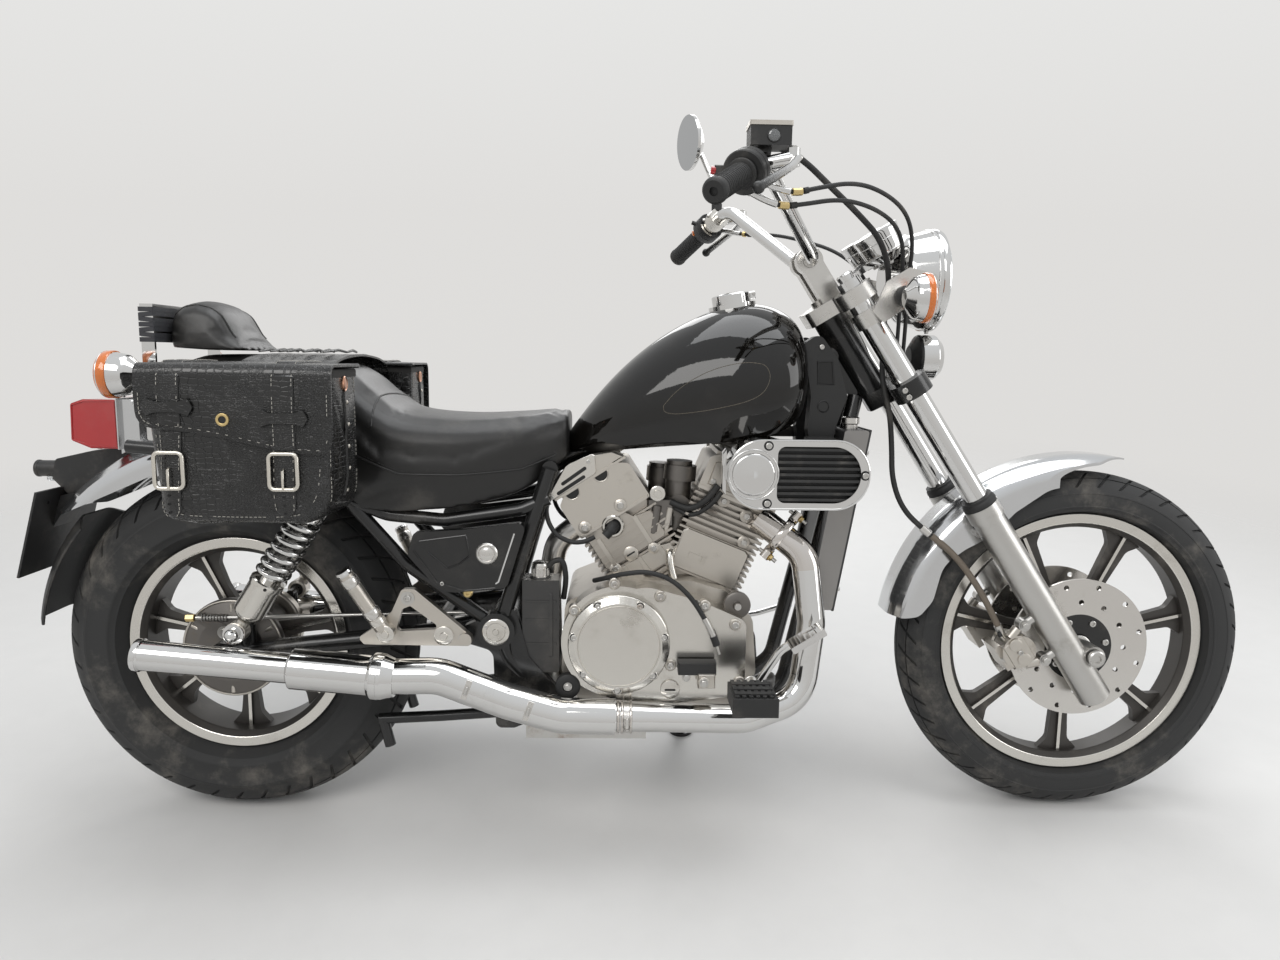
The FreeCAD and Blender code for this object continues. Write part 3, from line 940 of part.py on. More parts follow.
def cord(points, r):
    """A round cord along its route: each bend is an arc over 0.45 of the shorter run beside it."""
    points = [V(*p) for p in points]
    radii = [0.0] * len(points)
    for i in range(1, len(points) - 1):
        back, ahead = points[i - 1] - points[i], points[i + 1] - points[i]
        radii[i] = 0.45 * min(back.Length, ahead.Length) * math.tan(back.getAngle(ahead) / 2)
    path = rounded_wire(points, radii, closed=False)
    shape = path.makePipe(Part.Face(Part.Wire(Part.makeCircle(r, points[0], points[1] - points[0]))))
    print("  bend radii", [round(x) for x in radii[1:-1]], "length", round(path.Length),
          "volume", round(shape.Volume), "section x length", round(math.pi * r * r * path.Length))
    return shape


def build_cables():
    down_the_leg = ((62, -64, 1070), (38, -60, 1030), (10, -62, 986), (-6, -64, 932), (-34, -62, 876), (-66, -66, 824),
                    (-80, -76, 768), (-66, -84, 712), (-44, -89, 650), (-38, -92, 572), (-42, -88, 500), (-46, -84, 452))
    add("throttle_cable_upper", cord(THROTTLE_CABLE_UPPER, CABLE_R))
    add("throttle_cable_lower", cord(THROTTLE_CABLE_LOWER, CABLE_R))
    add("clutch_cable", cord(CLUTCH_CABLE, CABLE_R))
    add("brake_hose", cord(BRAKE_HOSE + tuple(tuple(fork_point(*p)) for p in down_the_leg), HOSE_R))


def stand_frame():
    """The side stand's pivot: its Y is the pivot axis, its Z points up and in towards the frame."""
    return FreeCAD.Placement(V(*STAND_PIVOT), FreeCAD.Rotation(V(1, 0, 0), STAND_AXIS_TILT))


def build_stands():
    here = stand_frame()
    up = V(0, -math.sin(math.radians(LEAN)), math.cos(math.radians(LEAN)))
    foot = V(*STAND_FOOT, STAND_FOOT[1] * math.tan(math.radians(LEAN)))
    pad = Part.makeCylinder(26, 8, foot, up)
    ankle = foot + up * 10
    leg = rod(tuple(V(*STAND_PIVOT) + (ankle - V(*STAND_PIVOT)).normalize() * 14.5), tuple(ankle), 11)

    def at_pivot(shape):
        shape.Placement = here.multiply(shape.Placement)
        return shape
    hub = at_pivot(rod((0, -9, 0), (0, 9, 0), 17))
    hole = at_pivot(rod((0, -30, 0), (0, 30, 0), 6 + SEAT_GAP))
    add("side_stand", fuse(hub, leg, pad).cut(hole))
    inner = -9 - SEAT_GAP
    lug = [box(-16, 16, inner - 6, inner, 0, 46), rod((0, inner - 6, 0), (0, inner, 0), 16),
           rod((0, inner - 12, 0), (0, 9 + SEAT_GAP, 0), 6), rod((0, 9 + SEAT_GAP, 0), (0, 15, 0), 11)]
    lug = at_pivot(fuse(*lug))
    cx, cy, cz = CENTRE_STAND_PIVOT
    legs = []
    for side in (1, -1):
        legs.append(bar([(cx, side * cy, cz), (cx - 120, side * (cy + 2), cz - 8), (cx - 236, side * (cy + 3), cz - 14)], 10, 60))
        legs.append(across(cx, cz, 16, *sorted((side * (cy - 10), side * (cy + 10)))))
        legs.append(rod((cx - 230, side * (cy + 3), cz - 12), (cx - 216, side * (cy + 6), cz - 64), 10))
    tie = across(cx - 60, cz - 4, 9, -cy, cy)
    holes = [across(cx, cz, 8 + SEAT_GAP, *sorted((side * 60, side * 120))) for side in (1, -1)]
    add("centre_stand", fuse(*legs, tie).cut(compound(*holes)))
    shaft = across(cx, cz, 8, SEAT_GAP - PLATE_IN, PLATE_IN - SEAT_GAP)
    add("stand_mounts", compound(lug, shaft))
    trim("stand_mounts", "left_frame_side")


def parked():
    """Leans the machine onto its side stand and brings its footprint's middle to the origin."""
    lean = FreeCAD.Placement(V(0, 0, 0), FreeCAD.Rotation(V(1, 0, 0), -LEAN))
    return FreeCAD.Placement(V(-FOOTPRINT_X, -FOOTPRINT_Y, 0), FreeCAD.Rotation()).multiply(lean)


def build():
    build_wheels()
    build_fork()
    build_handlebar()
    build_mirror()
    build_front_lamps()
    build_instruments()
    build_fenders()
    build_frame()
    build_rear_suspension()
    build_engine()
    build_exhaust()
    build_tank_and_seat()
    build_radiator()
    build_rear_end()
    build_backrest()
    build_bags()
    build_controls()
    add("brake_calipers", compound(caliper(), mirrored(caliper())))
    trim("brake_calipers", "fork_sliders")
    build_cables()
    build_stands()
    trim("left_mirror", "hand_controls", "handlebar")
    trim("brake_reservoir", "hand_controls", "handlebar")
    trim("instruments", "top_fork_clamp", "handlebar")
    trim("front_signals", "lamp_brackets_and_horn")
    trim("throttle_cable_upper", "hand_controls", "lower_fork_clamp_and_stem")
    trim("throttle_cable_lower", "hand_controls", "lower_fork_clamp_and_stem")
    trim("clutch_cable", "lower_fork_clamp_and_stem")
    trim("brake_hose", "brake_reservoir", "brake_calipers")


def export():
    os.makedirs("parts", exist_ok=True)
    place = parked()
    whole = FreeCAD.BoundBox()
    for name, shape in NODES.items():
        shape = shape.copy()
        shape.Placement = place.multiply(shape.Placement)
        whole.add(shape.BoundBox)
        for solid in shape.Solids:
            if not solid.isValid() or solid.Volume <= 0:
                print("check", name, solid.isValid(), round(solid.Volume, 1))
        shape.exportStep(f"parts/{name}.step")
        print(name, len(shape.Solids), "solids", round(sum(s.Volume for s in shape.Solids) / 1000, 1), "cm3")
    print("nodes", len(NODES), "box", whole)


if __name__ == "__main__":
    build()
    export()
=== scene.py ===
"""The looks of a cruiser motorcycle parked on its side stand.

Shapes are drawn in millimetres in the machine's own upright frame: X forward from the rear axle, Y to the
rider's left, Z up from the floor. BIKE turns them into the metres of the parked, leaning machine.
"""
import json
import math
import random

import bmesh
import bpy
from mathutils import Matrix, Vector
from mathutils.bvhtree import BVHTree


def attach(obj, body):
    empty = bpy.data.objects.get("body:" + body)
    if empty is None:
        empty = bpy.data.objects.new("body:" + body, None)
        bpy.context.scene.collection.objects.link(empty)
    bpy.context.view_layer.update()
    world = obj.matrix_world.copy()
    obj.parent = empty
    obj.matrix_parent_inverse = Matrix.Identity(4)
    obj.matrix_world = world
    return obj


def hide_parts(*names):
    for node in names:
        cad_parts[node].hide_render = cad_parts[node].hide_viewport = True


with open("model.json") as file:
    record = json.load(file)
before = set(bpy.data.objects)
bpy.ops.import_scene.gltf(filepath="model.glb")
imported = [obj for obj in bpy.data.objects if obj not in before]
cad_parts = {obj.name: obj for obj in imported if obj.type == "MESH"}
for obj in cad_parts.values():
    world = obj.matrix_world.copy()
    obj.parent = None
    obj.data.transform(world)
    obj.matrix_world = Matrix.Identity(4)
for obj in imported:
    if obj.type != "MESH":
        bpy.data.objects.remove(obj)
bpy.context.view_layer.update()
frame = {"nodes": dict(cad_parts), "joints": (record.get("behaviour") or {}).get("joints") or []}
NODES = frame["nodes"]
JOINTS = {joint["name"]: joint for joint in frame["joints"]}
MM = 0.001

# Driving sizes, as in the construction
WHEELBASE, RAKE, TRAIL = 1580.0, 33.5, 135.0
REAR_TYRE_R, REAR_TYRE_CROWN = 325.0, 75.0
FRONT_TYRE_R, FRONT_TYRE_CROWN = 331.0, 50.0
LEG_A, LEG_Y = 40.0, 95.0
CRANK_X, CRANK_Z = 835, 352
HEADLAMP_BACK, HEADLAMP_Z = 1186, 1012
HORN_Z = 872
PLATE_X, PLATE_Z, PLATE_TILT = -341, 538, math.radians(15.6)
BOTH_SIDES = ((1, "left"), (-1, "right"))

rear_spin = JOINTS["rear_wheel_spin"]
LEAN = math.atan2(-rear_spin["axis"][2], rear_spin["axis"][1])
REAR_Z = REAR_TYRE_R - REAR_TYRE_CROWN + REAR_TYRE_CROWN / math.cos(LEAN)
FRONT_Z = FRONT_TYRE_R - FRONT_TYRE_CROWN + FRONT_TYRE_CROWN / math.cos(LEAN)
TO_METRES = Matrix.Diagonal((MM, MM, MM, 1))
BIKE = (Matrix.Translation(rear_spin["pos_m"]) @ Matrix.Rotation(-LEAN, 4, "X")
        @ Matrix.Translation((0, 0, -REAR_Z * MM)) @ TO_METRES)
FORK = Matrix.Translation((WHEELBASE + TRAIL, 0, 0)) @ Matrix.Rotation(-math.radians(RAKE), 4, "Y")
UPRIGHT = BIKE.inverted()


# Materials

class Value:
    """A shader socket that takes Python arithmetic: each operator adds the Math node that does it."""

    def __init__(self, finish, socket):
        self.finish, self.socket = finish, socket

    def maths(self, operation, *others):
        return self.finish.node("ShaderNodeMath", {"operation": operation}, [self, *others])

    def __add__(self, other):
        return self.maths("ADD", other)

    def __mul__(self, other):
        return self.maths("MULTIPLY", other)

    def __sub__(self, other):
        return self.maths("SUBTRACT", other)

    def __rsub__(self, other):
        return self.finish.node("ShaderNodeMath", {"operation": "SUBTRACT"}, [other, self])

    __radd__ = __add__

    def between(self, low, high, out_low=0.0, out_high=1.0):
        """Eases from out_low to out_high as the value goes from low to high."""
        return self.finish.node("ShaderNodeMapRange", {"interpolation_type": "SMOOTHSTEP"},
                                [self, low, high, out_low, out_high])


class Shading:
    """A node tree that is written as expressions."""

    def __init__(self, tree):
        self.tree = tree

    def node(self, kind, settings=None, inputs=(), out=0):
        """Adds one node: its settings first, then the values or links of its sockets, by place or by name."""
        made = self.tree.nodes.new(kind)
        for key, value in (settings or {}).items():
            if key == "stops":
                ramp = made.color_ramp
                while len(ramp.elements) < len(value):
                    ramp.elements.new(0.5)
                for element, (place, shade_there) in zip(ramp.elements, value):
                    element.position, element.color = place, (*shade_there, 1)
            else:
                setattr(made, key, value)
        for key, value in inputs.items() if isinstance(inputs, dict) else enumerate(inputs):
            if isinstance(value, Value):
                self.tree.links.new(value.socket, made.inputs[key])
            elif value is not None:
                if isinstance(value, tuple) and made.inputs[key].type == "RGBA" and len(value) == 3:
                    value = (*value, 1)
                made.inputs[key].default_value = value
        return Value(self, made.outputs[out])

    def part(self, vector, axis):
        return self.node("ShaderNodeSeparateXYZ", None, [vector], out="XYZ".index(axis))


class Finish(Shading):
    """A material and its one shader. Numbers go straight onto the shader's sockets."""
    made = {}

    def __init__(self, name, colour, roughness, **fixed):
        self.material = bpy.data.materials.new(name)
        self.material.use_nodes = True
        super().__init__(self.material.node_tree)
        self.shader = self.tree.nodes["Principled BSDF"]
        self.set("Base Color", colour)
        self.set("Roughness", roughness)
        for socket, value in fixed.items():
            self.set(socket.replace("_", " "), value)
        Finish.made[name] = self.material
        self.material.diffuse_color = (*colour[:3], 1)

    def set(self, socket, value):
        if isinstance(value, Value):
            self.tree.links.new(value.socket, self.shader.inputs[socket])
        else:
            self.shader.inputs[socket].default_value = (*value, 1) if isinstance(value, tuple) else value
        return self

    def place(self, stretch=(1, 1, 1)):
        """Where a point lies, in metres, stretched along each axis."""
        here = self.node("ShaderNodeTexCoord", out="Object")
        return self.node("ShaderNodeVectorMath", {"operation": "MULTIPLY"}, [here, stretch])

    def upright(self, stretch=(1, 1, 1)):
        """Where a point lies in the upright machine, in metres, stretched along each axis."""
        here = self.node("ShaderNodeTexCoord", out="Object")
        turned = self.node("ShaderNodeMapping", {"vector_type": "TEXTURE"},
                           {"Vector": here, "Location": tuple(BIKE.translation), "Rotation": (-LEAN, 0, 0)})
        return self.node("ShaderNodeVectorMath", {"operation": "MULTIPLY"}, [turned, stretch])

    def noise(self, scale, detail=3.0, vector=None, roughness=0.55):
        return self.node("ShaderNodeTexNoise", None, {"Vector": vector or self.place(), "Scale": scale,
                                                      "Detail": detail, "Roughness": roughness})

    def cells(self, scale, vector=None, feature="DISTANCE_TO_EDGE", randomness=1.0):
        return self.node("ShaderNodeTexVoronoi", {"feature": feature},
                         {"Vector": vector or self.place(), "Scale": scale, "Randomness": randomness})

    def mix(self, amount, low, high):
        return self.node("ShaderNodeMix", {"data_type": "RGBA"}, {0: amount, 6: low, 7: high}, out=2)

    def bump(self, *heights):
        """Heights in millimetres, each a pair of value and height, laid over each other."""
        normal = None
        for height, size in heights:
            normal = self.node("ShaderNodeBump", None, {"Height": height, "Distance": size * MM, "Normal": normal})
        return self.set("Normal", normal)


def metal(name, colour, roughness, smear=0.05, grain=0.02, grain_scale=900, dirt=0.25, dirt_colour=(0.2, 0.17, 0.13)):
    """Bare metal: a smeared roughness, a fine grain and a little dirt in patches."""
    finish = Finish(name, colour, roughness, Metallic=1.0)
    patches, fine = finish.noise(22, 5), finish.noise(grain_scale, 2)
    grime = finish.noise(9, 6, roughness=0.7).between(0.56, 0.74) * dirt
    finish.set("Base Color", finish.mix(grime, colour, dirt_colour))
    finish.set("Roughness", roughness + (patches - 0.5) * (2 * smear) + grime * 0.35)
    finish.bump((patches, 0.15 * smear), (fine, grain))
    return finish


def coated(name, colour, roughness, coat=0.0, speck=0.02, dust=0.12, grain=0.02, grain_scale=1200, metallic=0.0,
           **more):
    """Paint, plastic or rubber: one colour with a slight cloudiness, dust and a fine grain."""
    finish = Finish(name, colour, roughness, Metallic=metallic, Coat_Weight=coat, Coat_Roughness=0.04, **more)
    cloud, dusty = finish.noise(14, 4), finish.noise(7, 7, roughness=0.68).between(0.5, 0.78) * dust
    dark, light = (tuple(c * (1 + 4 * way * speck) for c in colour) for way in (-1, 1))
    base = finish.mix(cloud, dark, light)
    finish.set("Base Color", finish.mix(dusty, base, (0.32, 0.29, 0.25)))
    finish.set("Roughness", roughness + (cloud - 0.5) * 0.08 + dusty * 0.3)
    finish.bump((finish.noise(grain_scale, 2), grain))
    return finish


def leather(name, depth):
    """Black leather pressed with reptile scales, with patches of large ones and of small ones."""
    finish = Finish(name, (0.010, 0.010, 0.010), 0.3, Coat_Weight=0.15, Coat_Roughness=0.12)
    swirl = finish.node("ShaderNodeTexNoise", None, {"Vector": finish.place(), "Scale": 16.0}, out=1)
    wander = finish.node("ShaderNodeVectorMath", {"operation": "MULTIPLY"}, [swirl, (0.02, 0.02, 0.02)])
    warped = finish.node("ShaderNodeVectorMath", {"operation": "ADD"}, [finish.upright((1.0, 1.0, 1.55)), wander])
    large = finish.cells(82, warped, randomness=0.5).between(0.01, 0.12)
    small = finish.cells(190, warped, randomness=0.75).between(0.01, 0.16)
    zone = finish.noise(11, 2).between(0.42, 0.58)
    scales = large * zone + small * (1 - zone)
    finish.set("Base Color", finish.mix(scales, (0.002, 0.002, 0.002), (0.0085, 0.0082, 0.0078)))
    finish.set("Roughness", 0.38 - scales * 0.15 + (finish.noise(30, 3) - 0.5) * 0.1)
    return finish.bump((scales, 0.6 * depth), (finish.noise(1500, 2), 0.01))


def make_finishes():
    metal("chrome", (0.62, 0.615, 0.605), 0.07, smear=0.035, grain=0.004, dirt=0.18)
    metal("hot_chrome", (0.58, 0.55, 0.52), 0.12, smear=0.05, grain=0.006, dirt=0.4, dirt_colour=(0.34, 0.25, 0.17))
    metal("polished_alloy", (0.61, 0.59, 0.55), 0.2, smear=0.07, grain=0.012, dirt=0.3)
    metal("cast_alloy", (0.52, 0.49, 0.445), 0.36, smear=0.08, grain=0.05, grain_scale=700, dirt=0.55)
    metal("fin_alloy", (0.44, 0.41, 0.37), 0.42, smear=0.1, grain=0.06, grain_scale=500, dirt=0.85,
          dirt_colour=(0.14, 0.12, 0.10))
    metal("brushed_alloy", (0.58, 0.565, 0.54), 0.26, smear=0.06, grain=0.02, grain_scale=1600, dirt=0.25)
    metal("steel", (0.50, 0.49, 0.47), 0.3, smear=0.1, grain=0.02, dirt=0.6, dirt_colour=(0.24, 0.15, 0.09))
    metal("brass", (0.60, 0.46, 0.22), 0.3, smear=0.1, grain=0.02, dirt=0.5)
    metal("mirror_glass", (0.42, 0.43, 0.44), 0.02, smear=0.004, grain=0.0005, dirt=0.03)
    disc = metal("disc_steel", (0.60, 0.58, 0.55), 0.24, smear=0.08, grain=0.02, dirt=0.4)
    rings = disc.node("ShaderNodeVectorMath", {"operation": "LENGTH"}, [disc.upright((1, 0, 1))], out=1)
    disc.bump((disc.noise(900, 2), 0.02), ((rings * 9000).maths("SINE"), 0.006))
    metal("satin_slider", (0.50, 0.49, 0.47), 0.33, smear=0.08, grain=0.03, grain_scale=1400, dirt=0.3)
    metal("dark_casting", (0.16, 0.15, 0.14), 0.45, smear=0.1, grain=0.06, grain_scale=500, dirt=0.6)
    glass = coated("headlamp_glass", (0.62, 0.65, 0.66), 0.06, coat=1.0, dust=0.05, metallic=0.75)
    flutes = glass.part(glass.upright(), "Y")
    glass.bump(((flutes * 700).maths("SINE"), 0.5), (glass.cells(120), 0.4))
    coated("louvre_black", (0.02, 0.02, 0.02), 0.5, dust=0.5)
    coated("gloss_plastic", (0.006, 0.006, 0.006), 0.2, coat=0.15, dust=0.12)
    coated("radiator_black", (0.02, 0.02, 0.021), 0.4, dust=0.35)
    vinyl = coated("vinyl", (0.009, 0.0085, 0.008), 0.4, dust=0.14)
    vinyl.bump((vinyl.noise(16, 3), 1.2), (vinyl.cells(900), 0.08), (vinyl.noise(2600, 2), 0.03))
    leather("bag_leather", 1.0)
    leather("strap_leather", 0.45)
    coated("lining", (0.016, 0.015, 0.014), 0.8, dust=0.1, grain=0.1)
    coated("gloss_black", (0.004, 0.0035, 0.003), 0.05, dust=0.03, grain=0.002)
    coated("frame_black", (0.008, 0.008, 0.008), 0.24, coat=0.1, dust=0.25, grain=0.03, grain_scale=500)
    coated("silver_paint", (0.56, 0.565, 0.57), 0.13, coat=0.3, speck=0.01, dust=0.08, grain=0.004, metallic=0.95)
    coated("cowl_grey", (0.27, 0.26, 0.25), 0.34, dust=0.25, metallic=0.6)
    coated("wheel_black", (0.055, 0.05, 0.045), 0.42, dust=0.5, grain=0.05, grain_scale=600, metallic=0.3)
    coated("black_plastic", (0.014, 0.014, 0.014), 0.46, dust=0.32, grain=0.05)
    coated("black_rubber", (0.013, 0.013, 0.013), 0.62, dust=0.28, grain=0.06, grain_scale=800)
    coated("tyre_rubber", (0.022, 0.022, 0.022), 0.72, dust=0.55, grain=0.08, grain_scale=700)
    coated("orange_lens", (0.78, 0.19, 0.015), 0.1, coat=0.8, dust=0.1, Transmission_Weight=0.25)
    coated("red_lens", (0.50, 0.012, 0.015), 0.1, coat=0.8, dust=0.1, Transmission_Weight=0.2)
    coated("clear_lens", (0.75, 0.77, 0.78), 0.04, coat=0.6, dust=0.06, grain=0.002, Transmission_Weight=0.85)
    coated("pinstripe", (0.10, 0.085, 0.065), 0.3, dust=0.05)
    coated("dial_black", (0.012, 0.012, 0.013), 0.4, dust=0.03)
    coated("dial_white", (0.75, 0.75, 0.72), 0.5, dust=0.03)
    coated("plate_white", (0.62, 0.62, 0.58), 0.4, coat=0.2, dust=0.3)
    metal("buckle", (0.62, 0.59, 0.53), 0.28, smear=0.1, grain=0.03, dirt=0.7, dirt_colour=(0.28, 0.24, 0.18))
    metal("copper", (0.55, 0.30, 0.20), 0.3, smear=0.1, dirt=0.5)
    # Near black with no dust: painted shade, laid as thin discs and sheets in holes, slots and recesses to stand for
    # the shade inside them.
    coated("painted_recess_shade", (0.003, 0.003, 0.003), 0.6, dust=0.0)
    coated("dark_thread", (0.02, 0.02, 0.02), 0.8, dust=0.05, grain=0.1)
    webbing = coated("webbing", (0.028, 0.029, 0.034), 0.6, dust=0.15)
    webbing.bump((webbing.cells(900, webbing.upright((0.4, 1, 2.2)), randomness=0.1), 0.5))
    coated("thread", (0.42, 0.40, 0.36), 0.8, dust=0.1, grain=0.1)
    braid = coated("braid", (0.16, 0.13, 0.10), 0.6, dust=0.2)
    braid.bump((braid.cells(700, randomness=0.2), 0.5))
    coated("coolant_bottle", (0.035, 0.034, 0.033), 0.4, dust=0.2)


make_finishes()


def finish_named(name):
    return Finish.made[name]


# Shapes

def spots(count, radius, start=0.0):
    """Points evenly round a circle, as pairs; start is an angle in radians."""
    return [(radius * math.cos(start + math.tau * k / count), radius * math.sin(start + math.tau * k / count))
            for k in range(count)]


def arc(x, z, r, start, step, count):
    """Points on an arc about (x, z); start and step are in degrees."""
    return [(x + r * math.cos(math.radians(start + step * k)), z + r * math.sin(math.radians(start + step * k)))
            for k in range(count)]


def rounded(x0, z0, x1, z1, r, step):
    """The outline of a rectangle with rounded corners, a point every few degrees."""
    corners = ((x1 - r, z1 - r, 0), (x0 + r, z1 - r, 90), (x0 + r, z0 + r, 180), (x1 - r, z0 + r, 270))
    return [p for x, z, start in corners for p in arc(x, z, r, start, step, 90 // step + 1)]


def stadium(x0, z0, x1, z1, r, steps=8):
    """The outline of a slot between two points."""
    along = math.degrees(math.atan2(z1 - z0, x1 - x0))
    ends = ((x1, z1, along - 90), (x0, z0, along + 90))
    return [p for x, z, start in ends for p in arc(x, z, r, start, 180 / steps, steps + 1)]


def aimed(centre, axis):
    """A frame at a point, its Z along an axis."""
    return Matrix.Translation(centre) @ Vector(axis).to_track_quat("Z", "Y").to_matrix().to_4x4()


def smooth(values, t):
    """A smooth value through a list, at t from 0 to 1."""
    u = t * (len(values) - 1)
    i = min(int(u), len(values) - 2)
    f = u - i
    a, b, c, d = (values[max(0, min(len(values) - 1, i + k))] for k in (-1, 0, 1, 2))
    return b + 0.5 * f * (c - a + f * (2 * a - 5 * b + 4 * c - d + f * (3 * (b - c) + d - a)))


def smooth_point(points, t):
    """A point on the smooth line through some points, at t from 0 to 1."""
    return tuple(smooth(values, t) for values in zip(*points))


def curve(points, steps=8):
    """A smooth line through the points."""
    count = (len(points) - 1) * steps
    return [smooth_point(points, k / count) for k in range(count + 1)]


class Piece:
    """Gathers shapes, in millimetres in the upright machine's frame, into one named mesh."""

    def __init__(self, name, place=BIKE):
        self.name, self.place = name, place
        self.points, self.faces, self.finishes, self.materials = [], [], [], []

    def put(self, points, faces, finish, matrix=None):
        if finish not in self.materials:
            self.materials.append(finish)
        start, index = len(self.points), self.materials.index(finish)
        self.points += [matrix @ Vector(p) for p in points] if matrix else [Vector(p) for p in points]
        self.faces += [tuple(start + k for k in face) for face in faces]
        self.finishes += [index] * len(faces)
        return self

    def skin(self, rows, finish, matrix=None, loop=False, ends=True):
        """A surface through rings of points; loop joins the last ring to the first, ends closes the outer two."""
        count, width = len(rows), len(rows[0])
        faces = []
        for i in range(count if loop else count - 1):
            a, b = i * width, (i + 1) % count * width
            faces += [(a + k, a + (k + 1) % width, b + (k + 1) % width, b + k) for k in range(width)]
        if ends and not loop:
            faces += [tuple(range(width))[::-1], tuple(range((count - 1) * width, count * width))]
        return self.put([p for row in rows for p in row], faces, finish, matrix)

    def lathe(self, outline, centre, axis, finish, sides=48, matrix=None):
        """Turns (distance along the axis, radius) points about the axis; a closed shape ends where it starts."""
        loop = outline[0] == outline[-1]
        rows = [[(x, y, u) for x, y in spots(sides, r)] for u, r in (outline[:-1] if loop else outline)]
        return self.skin(rows, finish, (matrix or Matrix()) @ aimed(centre, axis), loop)

    def rod(self, a, b, r, finish, sides=24, matrix=None, ease=0.12):
        """A round bar whose ends are slightly rounded."""
        a, b = Vector(a), Vector(b)
        length, cut = (b - a).length, r * ease
        outline = [(0, r - cut), (cut, r), (length - cut, r), (length, r - cut)]
        return self.lathe(outline, a, b - a, finish, sides, matrix)

    def tube(self, route, r, finish, sides=16, matrix=None, closed=False):
        """Sweeps a circle, or one radius per point, along a list of points."""
        route = [Vector(p) for p in route]
        count = len(route)
        radii = r if isinstance(r, (list, tuple)) else [r] * count
        side, rows = None, []
        for i, p in enumerate(route):
            ahead = route[(i + 1) % count] if closed or i < count - 1 else p + (p - route[i - 1])
            behind = route[i - 1] if closed or i else p - (route[1] - p)
            along = (ahead - behind).normalized()
            side = (side - along * side.dot(along) if side else along.orthogonal()).normalized()
            up = along.cross(side)
            rows.append([p + side * x + up * y for x, y in spots(sides, radii[i])])
        return self.skin(rows, finish, matrix, closed)

    def slab(self, outline, low, high, finish, axis="Y", soft=0.0, matrix=None):
        """A plate of the outline, seen along an axis, between two depths; soft insets its two faces' rims."""
        low, high = sorted((low, high))
        count = len(outline)
        middle = Vector((sum(p[0] for p in outline) / count, sum(p[1] for p in outline) / count))

        def at(p, depth, inset):
            flat = Vector(p[:2])
            if inset:
                flat = flat + (middle - flat).normalized() * inset
            return {"X": (depth, *flat), "Y": (flat.x, depth, flat.y), "Z": (*flat, depth)}[axis]
        levels = [(low, soft), (low + soft, 0), (high - soft, 0), (high, soft)] if soft else [(low, 0), (high, 0)]
        return self.skin([[at(p, depth, inset) for p in outline] for depth, inset in levels], finish, matrix)

    def block(self, low, high, finish, soft=1.0, matrix=None):
        """A box between two corners, with softened edges."""
        (x0, y0, z0), (x1, y1, z1) = low, high
        return self.slab([(x0, z0), (x1, z0), (x1, z1), (x0, z1)], y0, y1, finish, "Y", soft, matrix)

    def bolt(self, place, axis, r, h, finish, socket=False, matrix=None):
        """A hexagon bolt head on a washer, or a socket screw."""
        if socket:
            head = [(0, r), (h * 0.85, r), (h, r * 0.86), (h, r * 0.5), (h * 0.45, r * 0.45), (h * 0.45, 0.01)]
            return self.lathe(head, place, axis, finish, 18, matrix)
        self.lathe([(0, r * 1.3), (h * 0.2, r * 1.3), (h * 0.22, 0.01)], place, axis, finish, 18, matrix)
        return self.lathe([(h * 0.18, r), (h * 0.85, r), (h, r * 0.82), (h, 0.01)], place, axis, finish, 6, matrix)

    def build(self, body, slot, replaces=(), bevel=0.0, smooth=38.0):
        """Makes the mesh object, in the row frame, and lets it ride on its body."""
        mesh = bpy.data.meshes.new(self.name)
        mesh.from_pydata([self.place @ p for p in self.points], [], self.faces)
        for name in self.materials:
            mesh.materials.append(finish_named(name))
        mesh.polygons.foreach_set("material_index", self.finishes)
        mesh.validate()
        grown = bmesh.new()
        grown.from_mesh(mesh)
        bmesh.ops.recalc_face_normals(grown, faces=grown.faces)
        grown.to_mesh(mesh)
        grown.free()
        made = bpy.data.objects.new(self.name, mesh)
        bpy.context.scene.collection.objects.link(made)
        if bevel:
            modifier(made, "BEVEL", width=bevel * MM, segments=2, limit_method="ANGLE", angle_limit=math.radians(40))
        shade(mesh, smooth)
        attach(made, body)
        if replaces:
            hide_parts(*replaces)
        return made


def modifier(target, kind, **settings):
    made = target.modifiers.new(kind.lower(), kind)
    for key, value in settings.items():
        setattr(made, key, value)
    return made


def shade(mesh, angle):
    mesh.shade_smooth()
    mesh.set_sharp_from_angle(angle=math.radians(angle))


def dress(node, *names, pick=None, angle=30.0):
    """Gives a construction piece its finishes; pick says which, from a face's middle in the upright frame."""
    mesh = NODES[node].data
    mesh.materials.clear()
    for name in names:
        mesh.materials.append(finish_named(name))
    if pick:
        for face in mesh.polygons:
            face.material_index = pick(UPRIGHT @ face.center)
    shade(mesh, angle)


# Camera and studio

def build_camera():
    """The viewpoint of the photograph, solved from the wheels' outlines."""
    yaw, pitch, roll = (math.radians(d) for d in (1.3506, 16.786, 0.9886))
    ahead = Vector((math.sin(yaw) * math.cos(pitch), math.cos(yaw) * math.cos(pitch), -math.sin(pitch)))
    right = ahead.cross(Vector((0, 0, 1))).normalized()
    up = right.cross(ahead)
    right, up = right * math.cos(roll) + up * math.sin(roll), up * math.cos(roll) - right * math.sin(roll)
    turn = Matrix((right, up, -ahead)).transposed().to_4x4()
    data = bpy.data.cameras.new("camera")
    data.lens, data.sensor_width = 24.97, 36.0
    camera = bpy.data.objects.new("camera", data)
    bpy.context.scene.collection.objects.link(camera)
    camera.matrix_world = Matrix.Translation((-0.0625, -1.6712, 1.1131)) @ turn
    bpy.context.scene.camera = camera


# Cables and the brake hose, which the machine holds all the way: each route as in the construction

def in_fork(*points):
    return tuple(tuple(FORK @ Vector(p)) for p in points)


